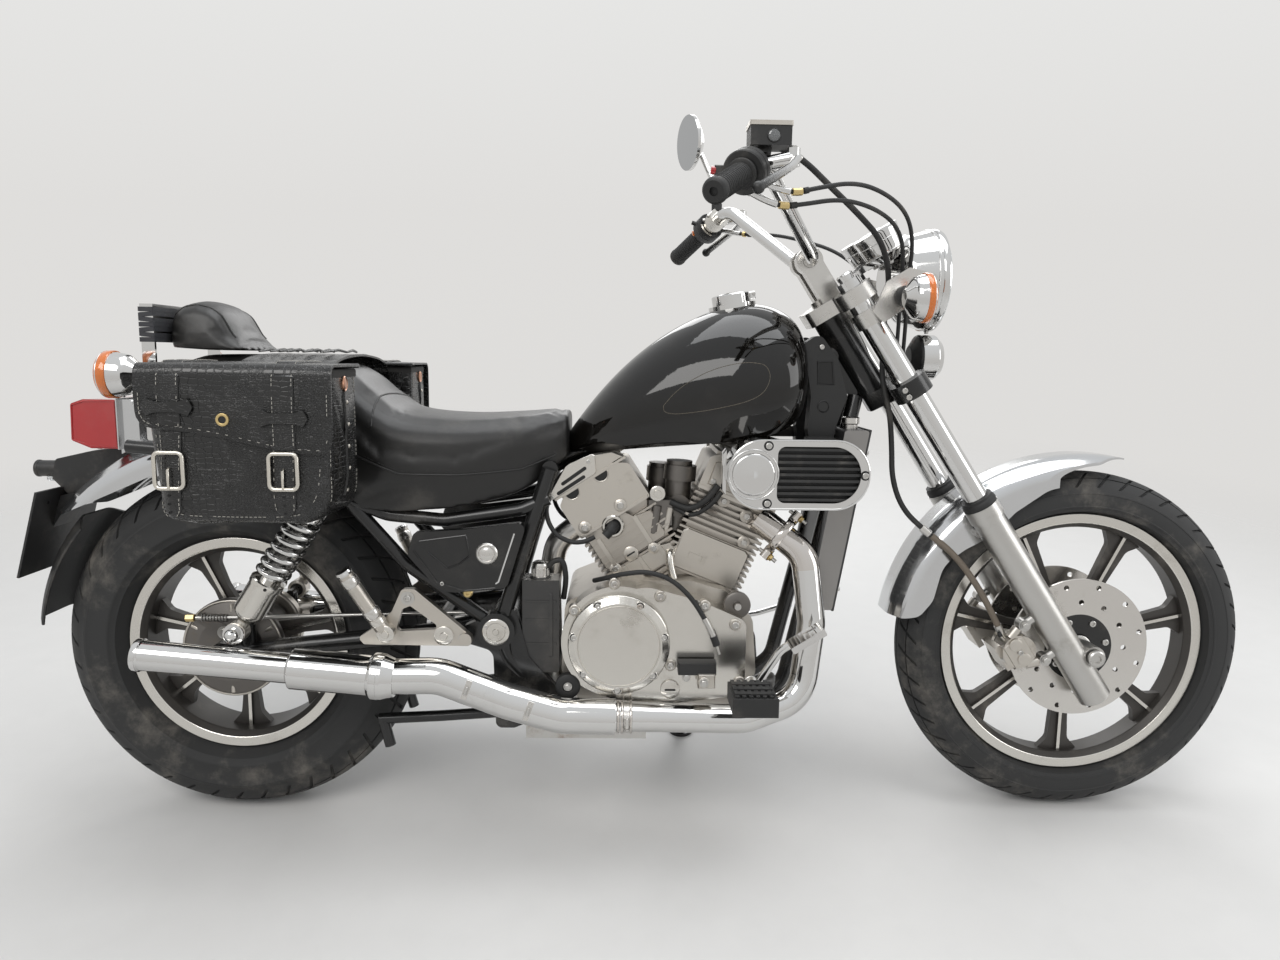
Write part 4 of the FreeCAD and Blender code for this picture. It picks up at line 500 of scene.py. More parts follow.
CABLES = {
    "throttle_cable_upper": (3.5, (
        (918, -297, 1126), (957, -292, 1110), (1000, -283, 1122), (1066, -258, 1137), (1128, -214, 1128),
        (1178, -164, 1106), (1204, -120, 1066), (1207, -96, 1012), (1213, -73, 918), (1217.5, -48, 835))),
    "throttle_cable_lower": (3.5, (
        (900, -296, 1111), (938, -290, 1092), (980, -280, 1098), (1043, -255, 1112), (1106, -211, 1108),
        (1160, -162, 1090), (1188, -122, 1056), (1194, -97, 1003), (1200, -75, 910), (1204, -50, 826.5))),
    "clutch_cable": (3.5, (
        (922.5, 288.3, 1137.1), (966, 258, 1124), (1018, 222, 1122), (1070, 168, 1104), (1129, 118, 1078),
        (1178, 98, 1036), (1200, 84, 970), (1211, 66, 903), (1217.5, 48, 835))),
    "brake_hose": (5.0, (
        (950, -250, 1190), (990, -224, 1176), (1036, -204, 1142), (1094, -170, 1104), (1148, -130, 1066),
        (1176, -92, 1008)) + in_fork(
        (62, -64, 1070), (38, -60, 1030), (10, -62, 986), (-6, -64, 932), (-34, -62, 876), (-66, -66, 824),
        (-80, -76, 768), (-66, -84, 712), (-44, -89, 650), (-38, -92, 572), (-42, -88, 500), (-46, -84, 452))),
}


def spline(name, route, r):
    """A cord: one quadratic NURBS through its route, rounded at every point."""
    data = bpy.data.curves.new(name, "CURVE")
    data.dimensions = "3D"
    line = data.splines.new("NURBS")
    line.points.add(len(route) - 1)
    for point, place in zip(line.points, route):
        point.co = (*(BIKE @ Vector(place)), 1)
    line.order_u = 3
    line.use_endpoint_u = True
    line.resolution_u = 12
    data.bevel_depth, data.bevel_resolution, data.use_fill_caps = r * MM, 5, True
    made = bpy.data.objects.new(name, data)
    bpy.context.scene.collection.objects.link(made)
    return made


def along_spline(cable):
    """Points along a cord's own middle line, in the upright frame, with the distance run at each."""
    bevel, cable.data.bevel_depth = cable.data.bevel_depth, 0
    bpy.context.view_layer.update()
    line = bpy.data.meshes.new_from_object(cable)
    cable.data.bevel_depth = bevel
    points, run = [UPRIGHT @ v.co for v in line.vertices], [0.0]
    for a, b in zip(points, points[1:]):
        run.append(run[-1] + (b - a).length)
    return points, run


def build_cables():
    for name, (r, route) in CABLES.items():
        cable = spline(name + "_cord", route, r)
        cable.data.materials.append(finish_named("black_rubber"))
        points, run = along_spline(cable)

        def stretch(start, end):
            return [p for p, u in zip(points, run) if start <= u <= end]
        fittings = Piece(name + "_fittings")
        if name == "brake_hose":
            fittings.tube(stretch(0, 34), [8.5 - 0.08 * k for k in range(len(stretch(0, 34)))], "black_rubber")
            fittings.tube(stretch(34, 44), 6.4, "steel")
            clip = next(u for p, u in zip(points, run) if p.z < 560)
            fittings.tube(stretch(clip - 12, clip + 12), 7.5, "brushed_alloy")
            fittings.tube(stretch(clip + 12, run[-1] - 26), 5.9, "braid")
            fittings.tube(stretch(run[-1] - 40, run[-1]), 7.0, "steel")
        else:
            fittings.tube(stretch(0, 46), 5.2, "chrome")
            fittings.tube(stretch(44, 62), 5.8, "brass")
            fittings.tube(stretch(62, 76), 4.9, "black_rubber")
            fittings.tube(stretch(run[-1] - 30, run[-1]), 4.8, "steel")
        extras = fittings.build("steering", "black_rubber")
        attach(cable, "steering")
        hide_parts(name)
        tuple(BIKE @ Vector(route[0]))
        run[-1] * MM
        2 * r * MM


def area_light(name, place, aim, width, height, watts, colour=(1, 1, 1)):
    data = bpy.data.lights.new(name, "AREA")
    data.shape, data.size, data.size_y, data.energy, data.color = "RECTANGLE", width, height, watts, colour
    lamp = bpy.data.objects.new(name, data)
    bpy.context.scene.collection.objects.link(lamp)
    turn = (Vector(aim) - Vector(place)).to_track_quat("-Z", "Y")
    lamp.matrix_world = Matrix.Translation(place) @ turn.to_matrix().to_4x4()


def build_studio():
    world = bpy.data.worlds.new("studio")
    bpy.context.scene.world = world
    world.use_nodes = True
    sky = Shading(world.node_tree)
    height = sky.part(sky.node("ShaderNodeTexCoord", out="Generated"), "Z")
    stops = [(0.0, (0.70, 0.69, 0.67)), (0.5, (0.74, 0.73, 0.715)), (0.62, (0.80, 0.80, 0.79)),
             (0.8, (0.86, 0.87, 0.88)), (1.0, (0.92, 0.94, 0.96))]
    backdrop = sky.node("ShaderNodeValToRGB", {"stops": stops}, [height * 0.5 + 0.5])
    kinds = ("Is Camera Ray", "Is Glossy Ray", "Is Transmission Ray")
    rays = [sky.node("ShaderNodeLightPath", out=kind) for kind in kinds]
    seen = rays[0].maths("MAXIMUM", rays[1].maths("MAXIMUM", rays[2]))
    tree = world.node_tree
    plain, pale = tree.nodes["Background"], tree.nodes.new("ShaderNodeBackground")
    plain.inputs["Color"].default_value, plain.inputs["Strength"].default_value = (0.94, 0.97, 1.0, 1), 0.52
    tree.links.new(backdrop.socket, pale.inputs["Color"])
    both = tree.nodes.new("ShaderNodeMixShader")
    tree.links.new(seen.socket, both.inputs[0])
    tree.links.new(plain.outputs[0], both.inputs[1])
    tree.links.new(pale.outputs[0], both.inputs[2])
    tree.links.new(both.outputs[0], tree.nodes["World Output"].inputs["Surface"])

    area_light("key", (-1.6, -2.6, 3.4), (0, 0, 0.5), 2.6, 1.6, 62, (1.0, 0.985, 0.96))
    area_light("overhead", (0.3, 0.4, 3.6), (0, 0, 0.5), 3.2, 2.0, 62, (0.97, 0.985, 1.0))
    area_light("front_fill", (3.2, -1.0, 1.6), (0.5, 0, 0.5), 1.4, 1.8, 22)
    area_light("left_fill", (0.4, 3.2, 2.2), (0, 0, 0.5), 2.4, 1.6, 34)

    mesh = bpy.data.meshes.new("floor")
    mesh.from_pydata([(-9, -9, 0), (9, -9, 0), (9, 9, 0), (-9, 9, 0)], [], [(0, 1, 2, 3)])
    floor = bpy.data.objects.new("floor", mesh)
    bpy.context.scene.collection.objects.link(floor)
    finish = coated("floor_grey", (0.70, 0.69, 0.675), 0.8, speck=0.01, dust=0.05, grain=0.1)
    reach = finish.node("ShaderNodeVectorMath", {"operation": "LENGTH"}, [finish.place((1, 1, 0))], out=1)
    finish.set("Alpha", 1 - reach.between(1.5, 3.6))
    mesh.materials.append(finish.material)


# What the construction's own pieces are made of

def wheel_finish(x, z, bead_r, blade_t):
    """Cast wheels: black, with bright flanges and a bright ridge down each spoke."""
    def pick(p):
        r = math.hypot(p.x - x, p.z - z)
        return int(r > bead_r - 8 or (abs(p.y) > blade_t / 2 + 5.5 and 64 < r < bead_r - 20))
    return pick


ONE_FINISH = {
    "frame_black": ("frame_headstock", "left_frame_side", "right_frame_side", "stand_mounts", "side_stand",
                    "centre_stand", "swingarm", "lower_fork_clamp_and_stem"),
    "cast_alloy": ("brake_calipers", "crankcase", "passenger_pegs"),
    "chrome": ("handlebar", "left_exhaust", "fuel_cap", "backrest_bracket"),
    "steel": ("front_axle", "rear_axle", "exhaust_collector"),
    "silver_paint": ("front_fender", "rear_fender"),
    "black_rubber": ("grips", "rear_mudflap"),
    "black_plastic": ("brake_reservoir",),
    "brushed_alloy": ("top_fork_clamp",),
    "satin_slider": ("fork_sliders",),
    "gloss_black": ("fuel_tank",),
}


def dress_all():
    for finish, nodes in ONE_FINISH.items():
        for node in nodes:
            dress(node, finish)
    dress("front_rim", "wheel_black", "polished_alloy", pick=wheel_finish(WHEELBASE, FRONT_Z, 241, 14))
    dress("rear_rim", "wheel_black", "polished_alloy", pick=wheel_finish(0, REAR_Z, 190, 16))
    dress("brake_discs", "disc_steel", "frame_black",
          pick=lambda p: int(math.hypot(p.x - WHEELBASE, p.z - FRONT_Z) < 66))
    dress("fork_stanchions", "chrome", "black_rubber", pick=lambda p: int((FORK.inverted() @ p).z < 721))
    dress("hand_controls", "black_plastic", "chrome", "polished_alloy", pick=control_finish)
    dress("left_mirror", "chrome", "mirror_glass", "black_rubber", pick=mirror_finish)
    dress("headlamp", "chrome", "headlamp_glass", pick=lambda p: int(p.x > 1280.2))
    dress("lamp_brackets_and_horn", "brushed_alloy", "chrome", "black_plastic", pick=bracket_finish)
    dress("front_signals", "chrome", "orange_lens", pick=lambda p: int(p.x > 1212.45))
    dress("rear_signals", "chrome", "orange_lens", "frame_black",
          pick=lambda p: 1 if p.x < -129.6 else 2 if abs(p.y) < 160 and p.x > -110 else 0)
    dress("instruments", "chrome", "black_plastic", pick=lambda p: int(abs(p.y) < 16))
    dress("tail_lamp", "red_lens", "silver_paint", pick=lambda p: int(p.x > -183.85))
    dress("number_plate_and_bracket", "plate_white", "black_plastic", pick=plate_finish)
    dress("final_drive_and_brake_panel", "cast_alloy", "dark_casting", pick=lambda p: int(p.y < 0))
    dress("engine_side_covers", "cast_alloy", "polished_alloy", pick=lambda p: int(-p.y > 163.7 or p.y > 148))
    dress("rear_cylinder", "fin_alloy", "cast_alloy", pick=head_finish(-33, 258))
    dress("front_cylinder", "fin_alloy", "cast_alloy", pick=head_finish(22, 268))
    dress("carburettors_and_air_cleaners", "dark_casting", "chrome", "louvre_black", pick=intake_finish)
    dress("right_exhaust", "chrome", "hot_chrome", pick=lambda p: int(p.x > 900 and p.z > 470))
    dress("side_and_neck_covers", "gloss_plastic", "black_plastic", pick=lambda p: int(p.x > 900))
    dress("radiator_and_coolant_bottle", "radiator_black", "coolant_bottle", "brushed_alloy", "cowl_grey",
          pick=lambda p: (3 if abs(p.y) > 101.5 else 0) if p.x > 900 else 2 if p.z > 469 else 1)
    dress("rider_pegs_and_levers", "chrome", "black_rubber", "frame_black", pick=peg_finish)


def control_finish(p):
    """The round housings are black; the perches bright and the levers chrome."""
    housing = abs(p.y) > 276 and math.hypot(p.x - 890, p.z - 1142) < 50 and p.x < 925
    return 0 if housing else 1 if p.x > 930 else 2


def mirror_finish(p):
    near = p - Vector((846, 330, 1326))
    facing = Vector((-0.93, -0.33, -0.05)).normalized()
    if near.length < 60:
        return 1 if near.dot(facing) > -0.4 else 0
    return 2 if p.z < 1192 and math.hypot(p.x - 907, p.y - 272) < 16 else 0


def bracket_finish(p):
    return 0 if abs(p.y) > 60 else 1 if p.z > 820 and p.x > 1262 else 2


def plate_finish(p):
    """The flat plate is white behind; its other face and what holds and lights it are dark."""
    across = (p.x - PLATE_X) * math.cos(PLATE_TILT) - (p.z - PLATE_Z) * math.sin(PLATE_TILT)
    return 0 if -2.2 < across < -1 and p.z < 618 else 1


def head_finish(tilt, head_from):
    """Fins below, the smooth head above."""
    turn = Matrix.Rotation(math.radians(-tilt), 4, "Y")

    def pick(p):
        return int((turn @ (p - Vector((CRANK_X, 0, CRANK_Z)))).z > head_from)
    return pick


def intake_finish(p):
    louvres = 973 < p.x < 1118 and 622 < p.z < 722 and abs(p.y) < 187.5
    return 0 if abs(p.y) < 118 else 2 if louvres else 1


def peg_finish(p):
    if abs(p.y) > 234 and p.z > 296 and p.x < 970:
        return 1
    return 0 if abs(p.y) > 196 else 2


# Wheels

def build_tyre(name, body, x, z, tyre_r, crown_r, bead_r, bead_w, pitches):
    """A tyre with chevron blocks. The mesh lines follow the grooves, so that each block keeps crisp edges.

    The side's rows are angles over the crown with two depths: of a groove round the tyre, and of a cut across it.
    """
    depth, ring = 5.0, tyre_r - crown_r
    half, flange_top, foot = bead_w / 2 - 0.3, bead_r + 13.5, bead_r + 0.3

    def crown(degrees, sunk=0.0):
        a = math.radians(degrees)
        return (crown_r - sunk) * math.sin(a), ring + (crown_r - sunk) * math.cos(a)
    side = [(0, 0, 0), (4, 0, 0), (4.6, 1, 0), (7.4, 1, 0), (8, 0, 0), (14, 0, 0), (14.6, 0, 1), (22, 0, 1),
            (30, 0, 1), (36, 0, 1), (36.6, 1, 0), (38.4, 1, 0), (39, 0, 1), (46, 0, 1), (53, 0, 1), (59, 0, 0.7),
            (62, 0, 0), (72, 0, 0), (73, -0.25, 0), (76, -0.25, 0), (77, 0, 0), (90, 0, 0), (102, 0, 0),
            (103, -0.2, 0), (106, -0.2, 0), (107, 0, 0), (115, 0, 0)]
    profile = [(-angle, ditch, cut) for angle, ditch, cut in reversed(side[1:])] + side
    steps = [(0.0, 0), (0.02, 1), (0.13, 1), (0.15, 0), (0.43, 0), (0.71, 0)]
    rows = []
    for pitch in range(pitches):
        for share, low in steps:
            row = []
            for angle, ditch, cut in profile:
                lie = 0.9 * (abs(angle) / 60) ** 1.2 if abs(angle) < 64 else 0.97
                turn = math.tau * (pitch + share + lie + (0.5 if angle > 0 else 0)) / pitches
                y, r = crown(angle, max(ditch, cut * low) * depth if ditch >= 0 else ditch * 4)
                row.append((x + r * math.cos(turn), y, z + r * math.sin(turn)))
            turn = math.tau * (pitch + share + 0.97 + 0.5) / pitches
            back = math.tau * (pitch + share + 0.97) / pitches
            for y, r, a in ((half, flange_top, turn), (half, foot, turn), (-half, foot, back),
                            (-half, flange_top, back)):
                row.append((x + r * math.cos(a), y, z + r * math.sin(a)))
            rows.append(row)
    made = Piece(name + "_treaded")
    made.skin(rows, "tyre_rubber", loop=True)
    return made.build(body, "tyre", [name], smooth=34)


def build_wheels():
    build_tyre("front_tyre", "front_wheel", WHEELBASE, FRONT_Z, FRONT_TYRE_R, FRONT_TYRE_CROWN, 241, 52, 46)
    build_tyre("rear_tyre", "rear_wheel", 0, REAR_Z, REAR_TYRE_R, REAR_TYRE_CROWN, 190, 88, 40)
    for name, body, x, z, bead_r in (("front", "front_wheel", WHEELBASE, FRONT_Z, 241),
                                     ("rear", "rear_wheel", 0, REAR_Z, 190)):
        trim = Piece(name + "_wheel_trim")
        stem = math.radians(118)
        at = Vector((x + (bead_r - 14) * math.cos(stem), 0, z + (bead_r - 14) * math.sin(stem)))
        inward = Vector((-math.cos(stem), 0, -math.sin(stem)))
        trim.rod(at, at + inward * 24, 4, "brass", 12).rod(at + inward * 12, at + inward * 26, 5, "black_rubber", 12)
        if name == "rear":
            for u, v in spots(7, 48, math.radians(90 + 180 / 7)):
                for side in (1, -1):
                    trim.bolt((x + u, side * 52, z + v), (0, side, 0), 4.5, 3, "steel", True)
        trim.build(body, "wheel")
    bolts = Piece("brake_disc_bolts")
    for side in (1, -1):
        for u, v in spots(7, 52, 0.2):
            bolts.bolt((WHEELBASE + u, side * 57, FRONT_Z + v), (0, side, 0), 6, 4, "steel", True)
        bolts.lathe([(0, 24), (3, 24), (5, 20), (5, 15), (1, 14), (1, 0.01)], (WHEELBASE, side * 57, FRONT_Z),
                    (0, side, 0), "steel", 32)
    bolts.build("front_wheel", "disc")


# Soft pieces

def swell(cushion, finish, cell, limit, held):
    """Padding: the shape's voxel skin is blown up a little as cloth; held points stay, none moves past limit."""
    modifier(cushion, "REMESH", mode="VOXEL", voxel_size=cell * MM, use_smooth_shade=True)
    depsgraph = bpy.context.evaluated_depsgraph_get()
    mesh = bpy.data.meshes.new_from_object(cushion.evaluated_get(depsgraph))
    cushion.modifiers.clear()
    cushion.data = mesh
    mesh.materials.clear()
    mesh.materials.append(finish_named(finish))
    before = [v.co.copy() for v in mesh.vertices]
    cloth = modifier(cushion, "CLOTH")
    cloth.settings.use_pressure = True
    cloth.settings.uniform_pressure_force = 4
    cloth.settings.effector_weights.gravity = 0
    group = cushion.vertex_groups.new(name="held")
    group.add([v.index for v in mesh.vertices if held(UPRIGHT @ v.co)], 1, "REPLACE")
    cloth.settings.vertex_group_mass = "held"
    for step in range(1, 21):
        bpy.context.scene.frame_set(step)
    blown = cushion.evaluated_get(bpy.context.evaluated_depsgraph_get())
    after = [v.co.copy() for v in blown.data.vertices]
    cushion.modifiers.clear()
    bpy.context.scene.frame_set(1)
    for vertex, start, end in zip(mesh.vertices, before, after):
        move = end - start
        if move.length > limit * MM:
            move *= limit * MM / move.length
        vertex.co = start + move
    modifier(cushion, "SMOOTH", factor=0.5, iterations=3)
    mesh.shade_smooth()
    return cushion


class Surface:
    """A finished shape that seams and straps are laid on."""

    def __init__(self, target):
        self.tree = BVHTree.FromObject(target, bpy.context.evaluated_depsgraph_get())

    def nearest(self, p, off=0.0):
        place, normal, _, _ = self.tree.find_nearest(BIKE @ Vector(p))
        return UPRIGHT @ (place + normal * off * MM)

    def hit(self, p, direction, off=0.0):
        start = BIKE @ Vector(p)
        aim = (BIKE.to_3x3() @ Vector(direction)).normalized()
        place, normal, _, _ = self.tree.ray_cast(start, aim)
        return UPRIGHT @ (place + normal * off * MM) if place else None

    def line(self, route, steps=12, off=0.0):
        """The route's points carried to the surface, with steps between each two."""
        out = []
        for a, b in zip(route, route[1:]):
            out += [self.nearest(Vector(a).lerp(Vector(b), k / steps), off) for k in range(steps)]
        return out + [self.nearest(route[-1], off)]


def stitches(piece, line, length=4.2, gap=2.6, r=0.55, finish="thread"):
    """A row of stitches along a line of points."""
    run, spent = 0.0, 0.0
    for a, b in zip(line, line[1:]):
        leg = (b - a).length
        if leg < 0.01:
            continue
        along = (b - a) / leg
        u = spent - run
        while u + length < leg + 2:
            if u >= 0:
                piece.tube([a + along * u, a + along * (u + length)], [r, r], finish, 5)
            u += length + gap
        spent = run + u
        run += leg


def shifted(line, off):
    return [p + Vector(off) for p in line]


# The seat from front to back: place, underside, top and half width
SEAT_SECTIONS = ((614, 684, 770, 76), (540, 628, 762, 126), (430, 600, 757, 152), (330, 592, 766, 158),
                 (280, 592, 796, 152), (238, 600, 832, 144), (190, 640, 852, 136), (60, 690, 860, 130),
                 (-66, 740, 858, 116))


def seat_loop(t, inset):
    """The seat's outline at a share of its length: flat below, sides that spread, a crowned top."""
    x, low, high, half = smooth_point(SEAT_SECTIONS, t)
    low, high, half = low + inset, high - inset, half - inset
    corner = 0.16 * (high - low)
    side = [(half * share, low + (high - low) * up) for share, up in ((0.9, 0), (0.94, 0.25), (0.975, 0.45))]
    shoulder = ((1, 2.4), (0.985, 1.5), (0.93, 0.9), (0.84, 0.45), (0.72, 0.25), (0.5, 0.12), (0.25, 0.03))
    side += [(half * share, high - corner * drop) for share, drop in shoulder]
    return [(x, y, z) for y, z in [*side, (0, high)]] + [(x, -y, z) for y, z in reversed(side)]


def build_seat():
    seat = Piece("stepped_seat")
    seat.skin([seat_loop(k / 48, 3) for k in range(49)], "vinyl")
    seat = seat.build("chassis", "vinyl", ["seat"])
    on = Surface(swell(seat, "vinyl", 5.0, 5.0, held=lambda p: p.z < 606 or p.x > 606))
    trim = Piece("seat_seams")
    for side in (1, -1):
        skirt = ((596, 90, 690), (540, 124, 668), (430, 150, 660), (330, 156, 662), (262, 148, 690), (190, 134, 742),
                 (60, 128, 770))
        skirt = on.line([(x, side * y, z) for x, y, z in skirt], 14, 0.3)
        trim.tube(skirt, 1.7, "vinyl", 8)
        stitches(trim, shifted(skirt, (0, side * 0.5, 5)), finish="dark_thread")
    step = [on.hit((288 + 6 * math.cos(k / 20 * math.pi), 142 - 14.2 * k, 950), (0, 0, -1), 0.3) for k in range(21)]
    trim.tube([p for p in step if p], 1.7, "vinyl", 8)
    trim.build("chassis", "vinyl")


def build_backrest():
    """The pad is longest in its middle height, rounded at its ends, with a strap wound round the plate behind it."""
    pad = Piece("backrest_cushion")
    side = [(-80, 872), (-20, 868), (54, 868), (38, 882), (23, 898), (14, 918), (5, 937), (-12, 950), (-36, 956),
            (-60, 951), (-77, 934), (-82, 902)]
    rows = []
    for k in range(25):
        u = -1 + 2 * k / 24
        shrink = (1 - abs(u) ** 7) ** (1 / 2.6)
        lift = 1 - abs(u) ** 2.4 * 0.18
        rows.append([(-12 + (x + 12) * (0.55 + 0.45 * shrink), u * 93, 870 + (z - 870) * (0.4 + 0.6 * shrink) * lift)
                     for x, z in side])
    pad.skin(rows, "vinyl")
    pad = pad.build("chassis", "vinyl", ["backrest_pad"])
    on = Surface(swell(pad, "vinyl", 4.5, 5.0, held=lambda p: p.z < 875))
    trim = Piece("backrest_seams_and_strap")
    for y in (-66, 66):
        line = [on.hit((-12 + u, y, 886 + v), (-u, 0, -v), 0.3) for u, v in arc(0, 0, 400, 6, 6, 30)]
        trim.tube([p for p in line if p], 1.6, "vinyl", 8)
    for k in range(7):
        z = 884 + 8.5 * k
        sway = 1.5 * math.sin(2.1 * k)
        fold = [(-108.8, z - 3.9 + sway), (-83, z - 3.9 - sway), (-83, z + 3.9 - sway), (-108.8, z + 3.9 + sway)]
        trim.slab(fold, -126, 126, "webbing", soft=1.4)
    trim.build("chassis", "vinyl")


# Saddlebags

BAG_IN, BAG_OUT, BAG_TOP = 192.0, 330.0, 842.0
BAG_REAR, BAG_FRONT = -8.0, 276.0


def bag_loop(z, side, inset=0.0):
    """The bag's outline at a height, its outer corners rounded: it narrows downwards and leans in at the rear."""
    low = max(0.0, 650 - z)
    front = BAG_FRONT - (46 - math.sqrt(max(0, 46 ** 2 - low ** 2)))
    rear = BAG_REAR + max(0, 742 - z) * 0.11 + (24 - math.sqrt(max(0, 24 ** 2 - max(0, 626 - z) ** 2)))
    curl = 20 - math.sqrt(max(0, 20 ** 2 - max(0, 622 - z) ** 2))
    x0, x1 = rear + inset, front - inset
    y0, y1, r = BAG_IN + inset + curl * 0.5, BAG_OUT - inset - curl, 20
    loop = [(x0, y0), (x1, y0)] + arc(x1 - r, y1 - r, r, 0, 18, 6) + arc(x0 + r, y1 - r, r, 90, 18, 6)
    return [(x, side * y, z) for x, y in loop]


def open_mouth(bag):
    """Takes away what closes the top of a swollen bag; the rim of its lining covers the edge."""
    cut = bmesh.new()
    cut.from_mesh(bag.data)
    top = [face for face in cut.faces if (UPRIGHT @ face.calc_center_median()).z > 833]
    bmesh.ops.delete(cut, geom=top, context="FACES")
    cut.to_mesh(bag.data)
    cut.free()


def build_bag(side, name):
    bag = Piece(name + "_bag")
    levels = [603, 606, 611, 618, 627, 640, 660, 690, 720, 750, 780, 810, 832, 839]
    bag.skin([bag_loop(z, side, 2.5) for z in levels], "bag_leather")
    bag = bag.build("chassis", "bag_leather")
    on = Surface(swell(bag, "bag_leather", 4.5, 4.5, held=lambda p: p.z > 830 or abs(p.y) < 198))
    open_mouth(bag)
    lining = Piece(name + "_bag_lining")
    walls = [(828, 1.9), (837, 1.7), (840, 2.6), (841, 4.4), (840, 6.2), (836, 7.2), (780, 7.6), (700, 7.6), (640, 8),
             (618, 10), (612, 16)]
    lining.skin([bag_loop(z, side, inset) for z, inset in walls], "lining", ends=False)
    floor = bag_loop(612, side, 16)
    lining.put(floor, [tuple(range(len(floor)))], "lining")
    lining.build("chassis", "bag_leather", smooth=60)
    face = side * (BAG_OUT + 60)
    trim = Piece(name + "_bag_straps")

    def strip(centre, width, top, bottom, thick, finish="strap_leather", tail=False):
        """A strap down the bag's face, as one slab that follows it."""
        rows = []
        for k in range(25):
            z = top + (bottom - top) * k / 24
            x, left = centre(z), width / 2
            if tail:
                left *= min(1.0, (max(0.0, z - bottom) / 16 + 0.02) ** 0.5)
            row = []
            for u in (-1, -0.85, 0, 0.85, 1):
                p = on.hit((x + u * left, face, z), (0, -side, 0)) or Vector((x + u * left, side * BAG_OUT, z))
                row.append(p + Vector((0, side * (thick if abs(u) < 0.9 else thick * 0.55), 0)))
            rows.append(row + [p - Vector((0, side * (thick + 1), 0)) for p in reversed(row)])
        trim.skin(rows, finish)
        return rows
    for rear in (True, False):
        def centre(z, rear=rear):
            return (36 - (716 - z) * 0.06) if rear else 205 - (720 - z) * 0.03
        rows = strip(centre, 34, 746 if rear else 724, 612 if rear else 616, 3.2, tail=True)
        for edge in (1, 3):
            stitches(trim, [row[edge] + Vector((0, side * 0.4, 0)) for row in rows][1:-1])
        z0, z1, x = 661, 715, centre(688)
        y = side * (abs(rows[12][2].y) + 2.5)
        trim.tube([(u, y, v) for u, v in rounded(x - 21, z0, x + 21, z1, 8, 18)], 3.4, "buckle", 10, closed=True)
        prong = [(x, y + side * out, z) for out, z in ((-2, 692), (2.6, 689), (3.4, 676), (3.2, z0 - 1))]
        trim.tube(prong, [1.6, 2.4, 2.3, 1.7], "buckle", 10)
        for z in (650, 637, 624):
            # Each strap hole is painted shade: a near-black dished disc on the strap.
            hole = on.hit((centre(z), face, z), (0, -side, 0), 3.0)
            eyelet = [(0, 2.3), (0.9, 2.3), (1.1, 1.3), (0.2, 1.2), (0.2, 0.01)]
            trim.lathe(eyelet, hole, (0, side, 0), "painted_recess_shade", 12)
    hem = [(10, 740), (14, 690), (24, 640), (44, 618), (90, 612), (150, 611), (200, 613), (230, 624), (250, 650),
           (258, 690), (262, 740)]
    hem = [on.nearest((x, side * 331, z), 0.3) for x, z in hem]
    stitches(trim, [Vector(smooth_point(hem, t / 90)) for t in range(91)])
    ahead = BAG_FRONT + 60
    for y in (314, 208):
        line = [on.hit((ahead, side * y, z), (-1, 0, 0), 0.5) for z in range(640, 836, 6)]
        stitches(trim, [p for p in line if p])
    rows = []
    for k in range(20):
        z = 806 - 8.6 * k
        mid = on.hit((ahead, side * 262, z), (-1, 0, 0))
        if mid:
            wide = side * (9 if k not in (0, 19) else 5)
            corners = ((0, wide, 0), (3, wide * 0.9, 0), (3, -wide * 0.9, 0), (0, -wide, 0))
            rows.append([mid + Vector(off) for off in corners])
            if k % 4 == 2:
                trim.lathe([(2.4, 3.4), (3.6, 3.2), (4.6, 2.0), (5.0, 0.01)], mid, (1, 0, 0), "buckle", 14)
    trim.skin(rows, "strap_leather")
    badge = on.hit((ahead, side * 262, 818), (-1, 0, 0))
    trim.lathe([(0.5, 12), (2.5, 12), (3.6, 10.5), (2.6, 9), (3.4, 7), (3.8, 0.01)], badge, (1, 0, 0), "copper", 28)
    trim.build("chassis", "bag_leather")


def flap_edge(x):
    """Height of the flap's lower edge: it slants down towards the front."""
    return smooth([752, 750, 745, 738, 729, 720, 715, 714], (x - BAG_REAR) / (BAG_FRONT - BAG_REAR))


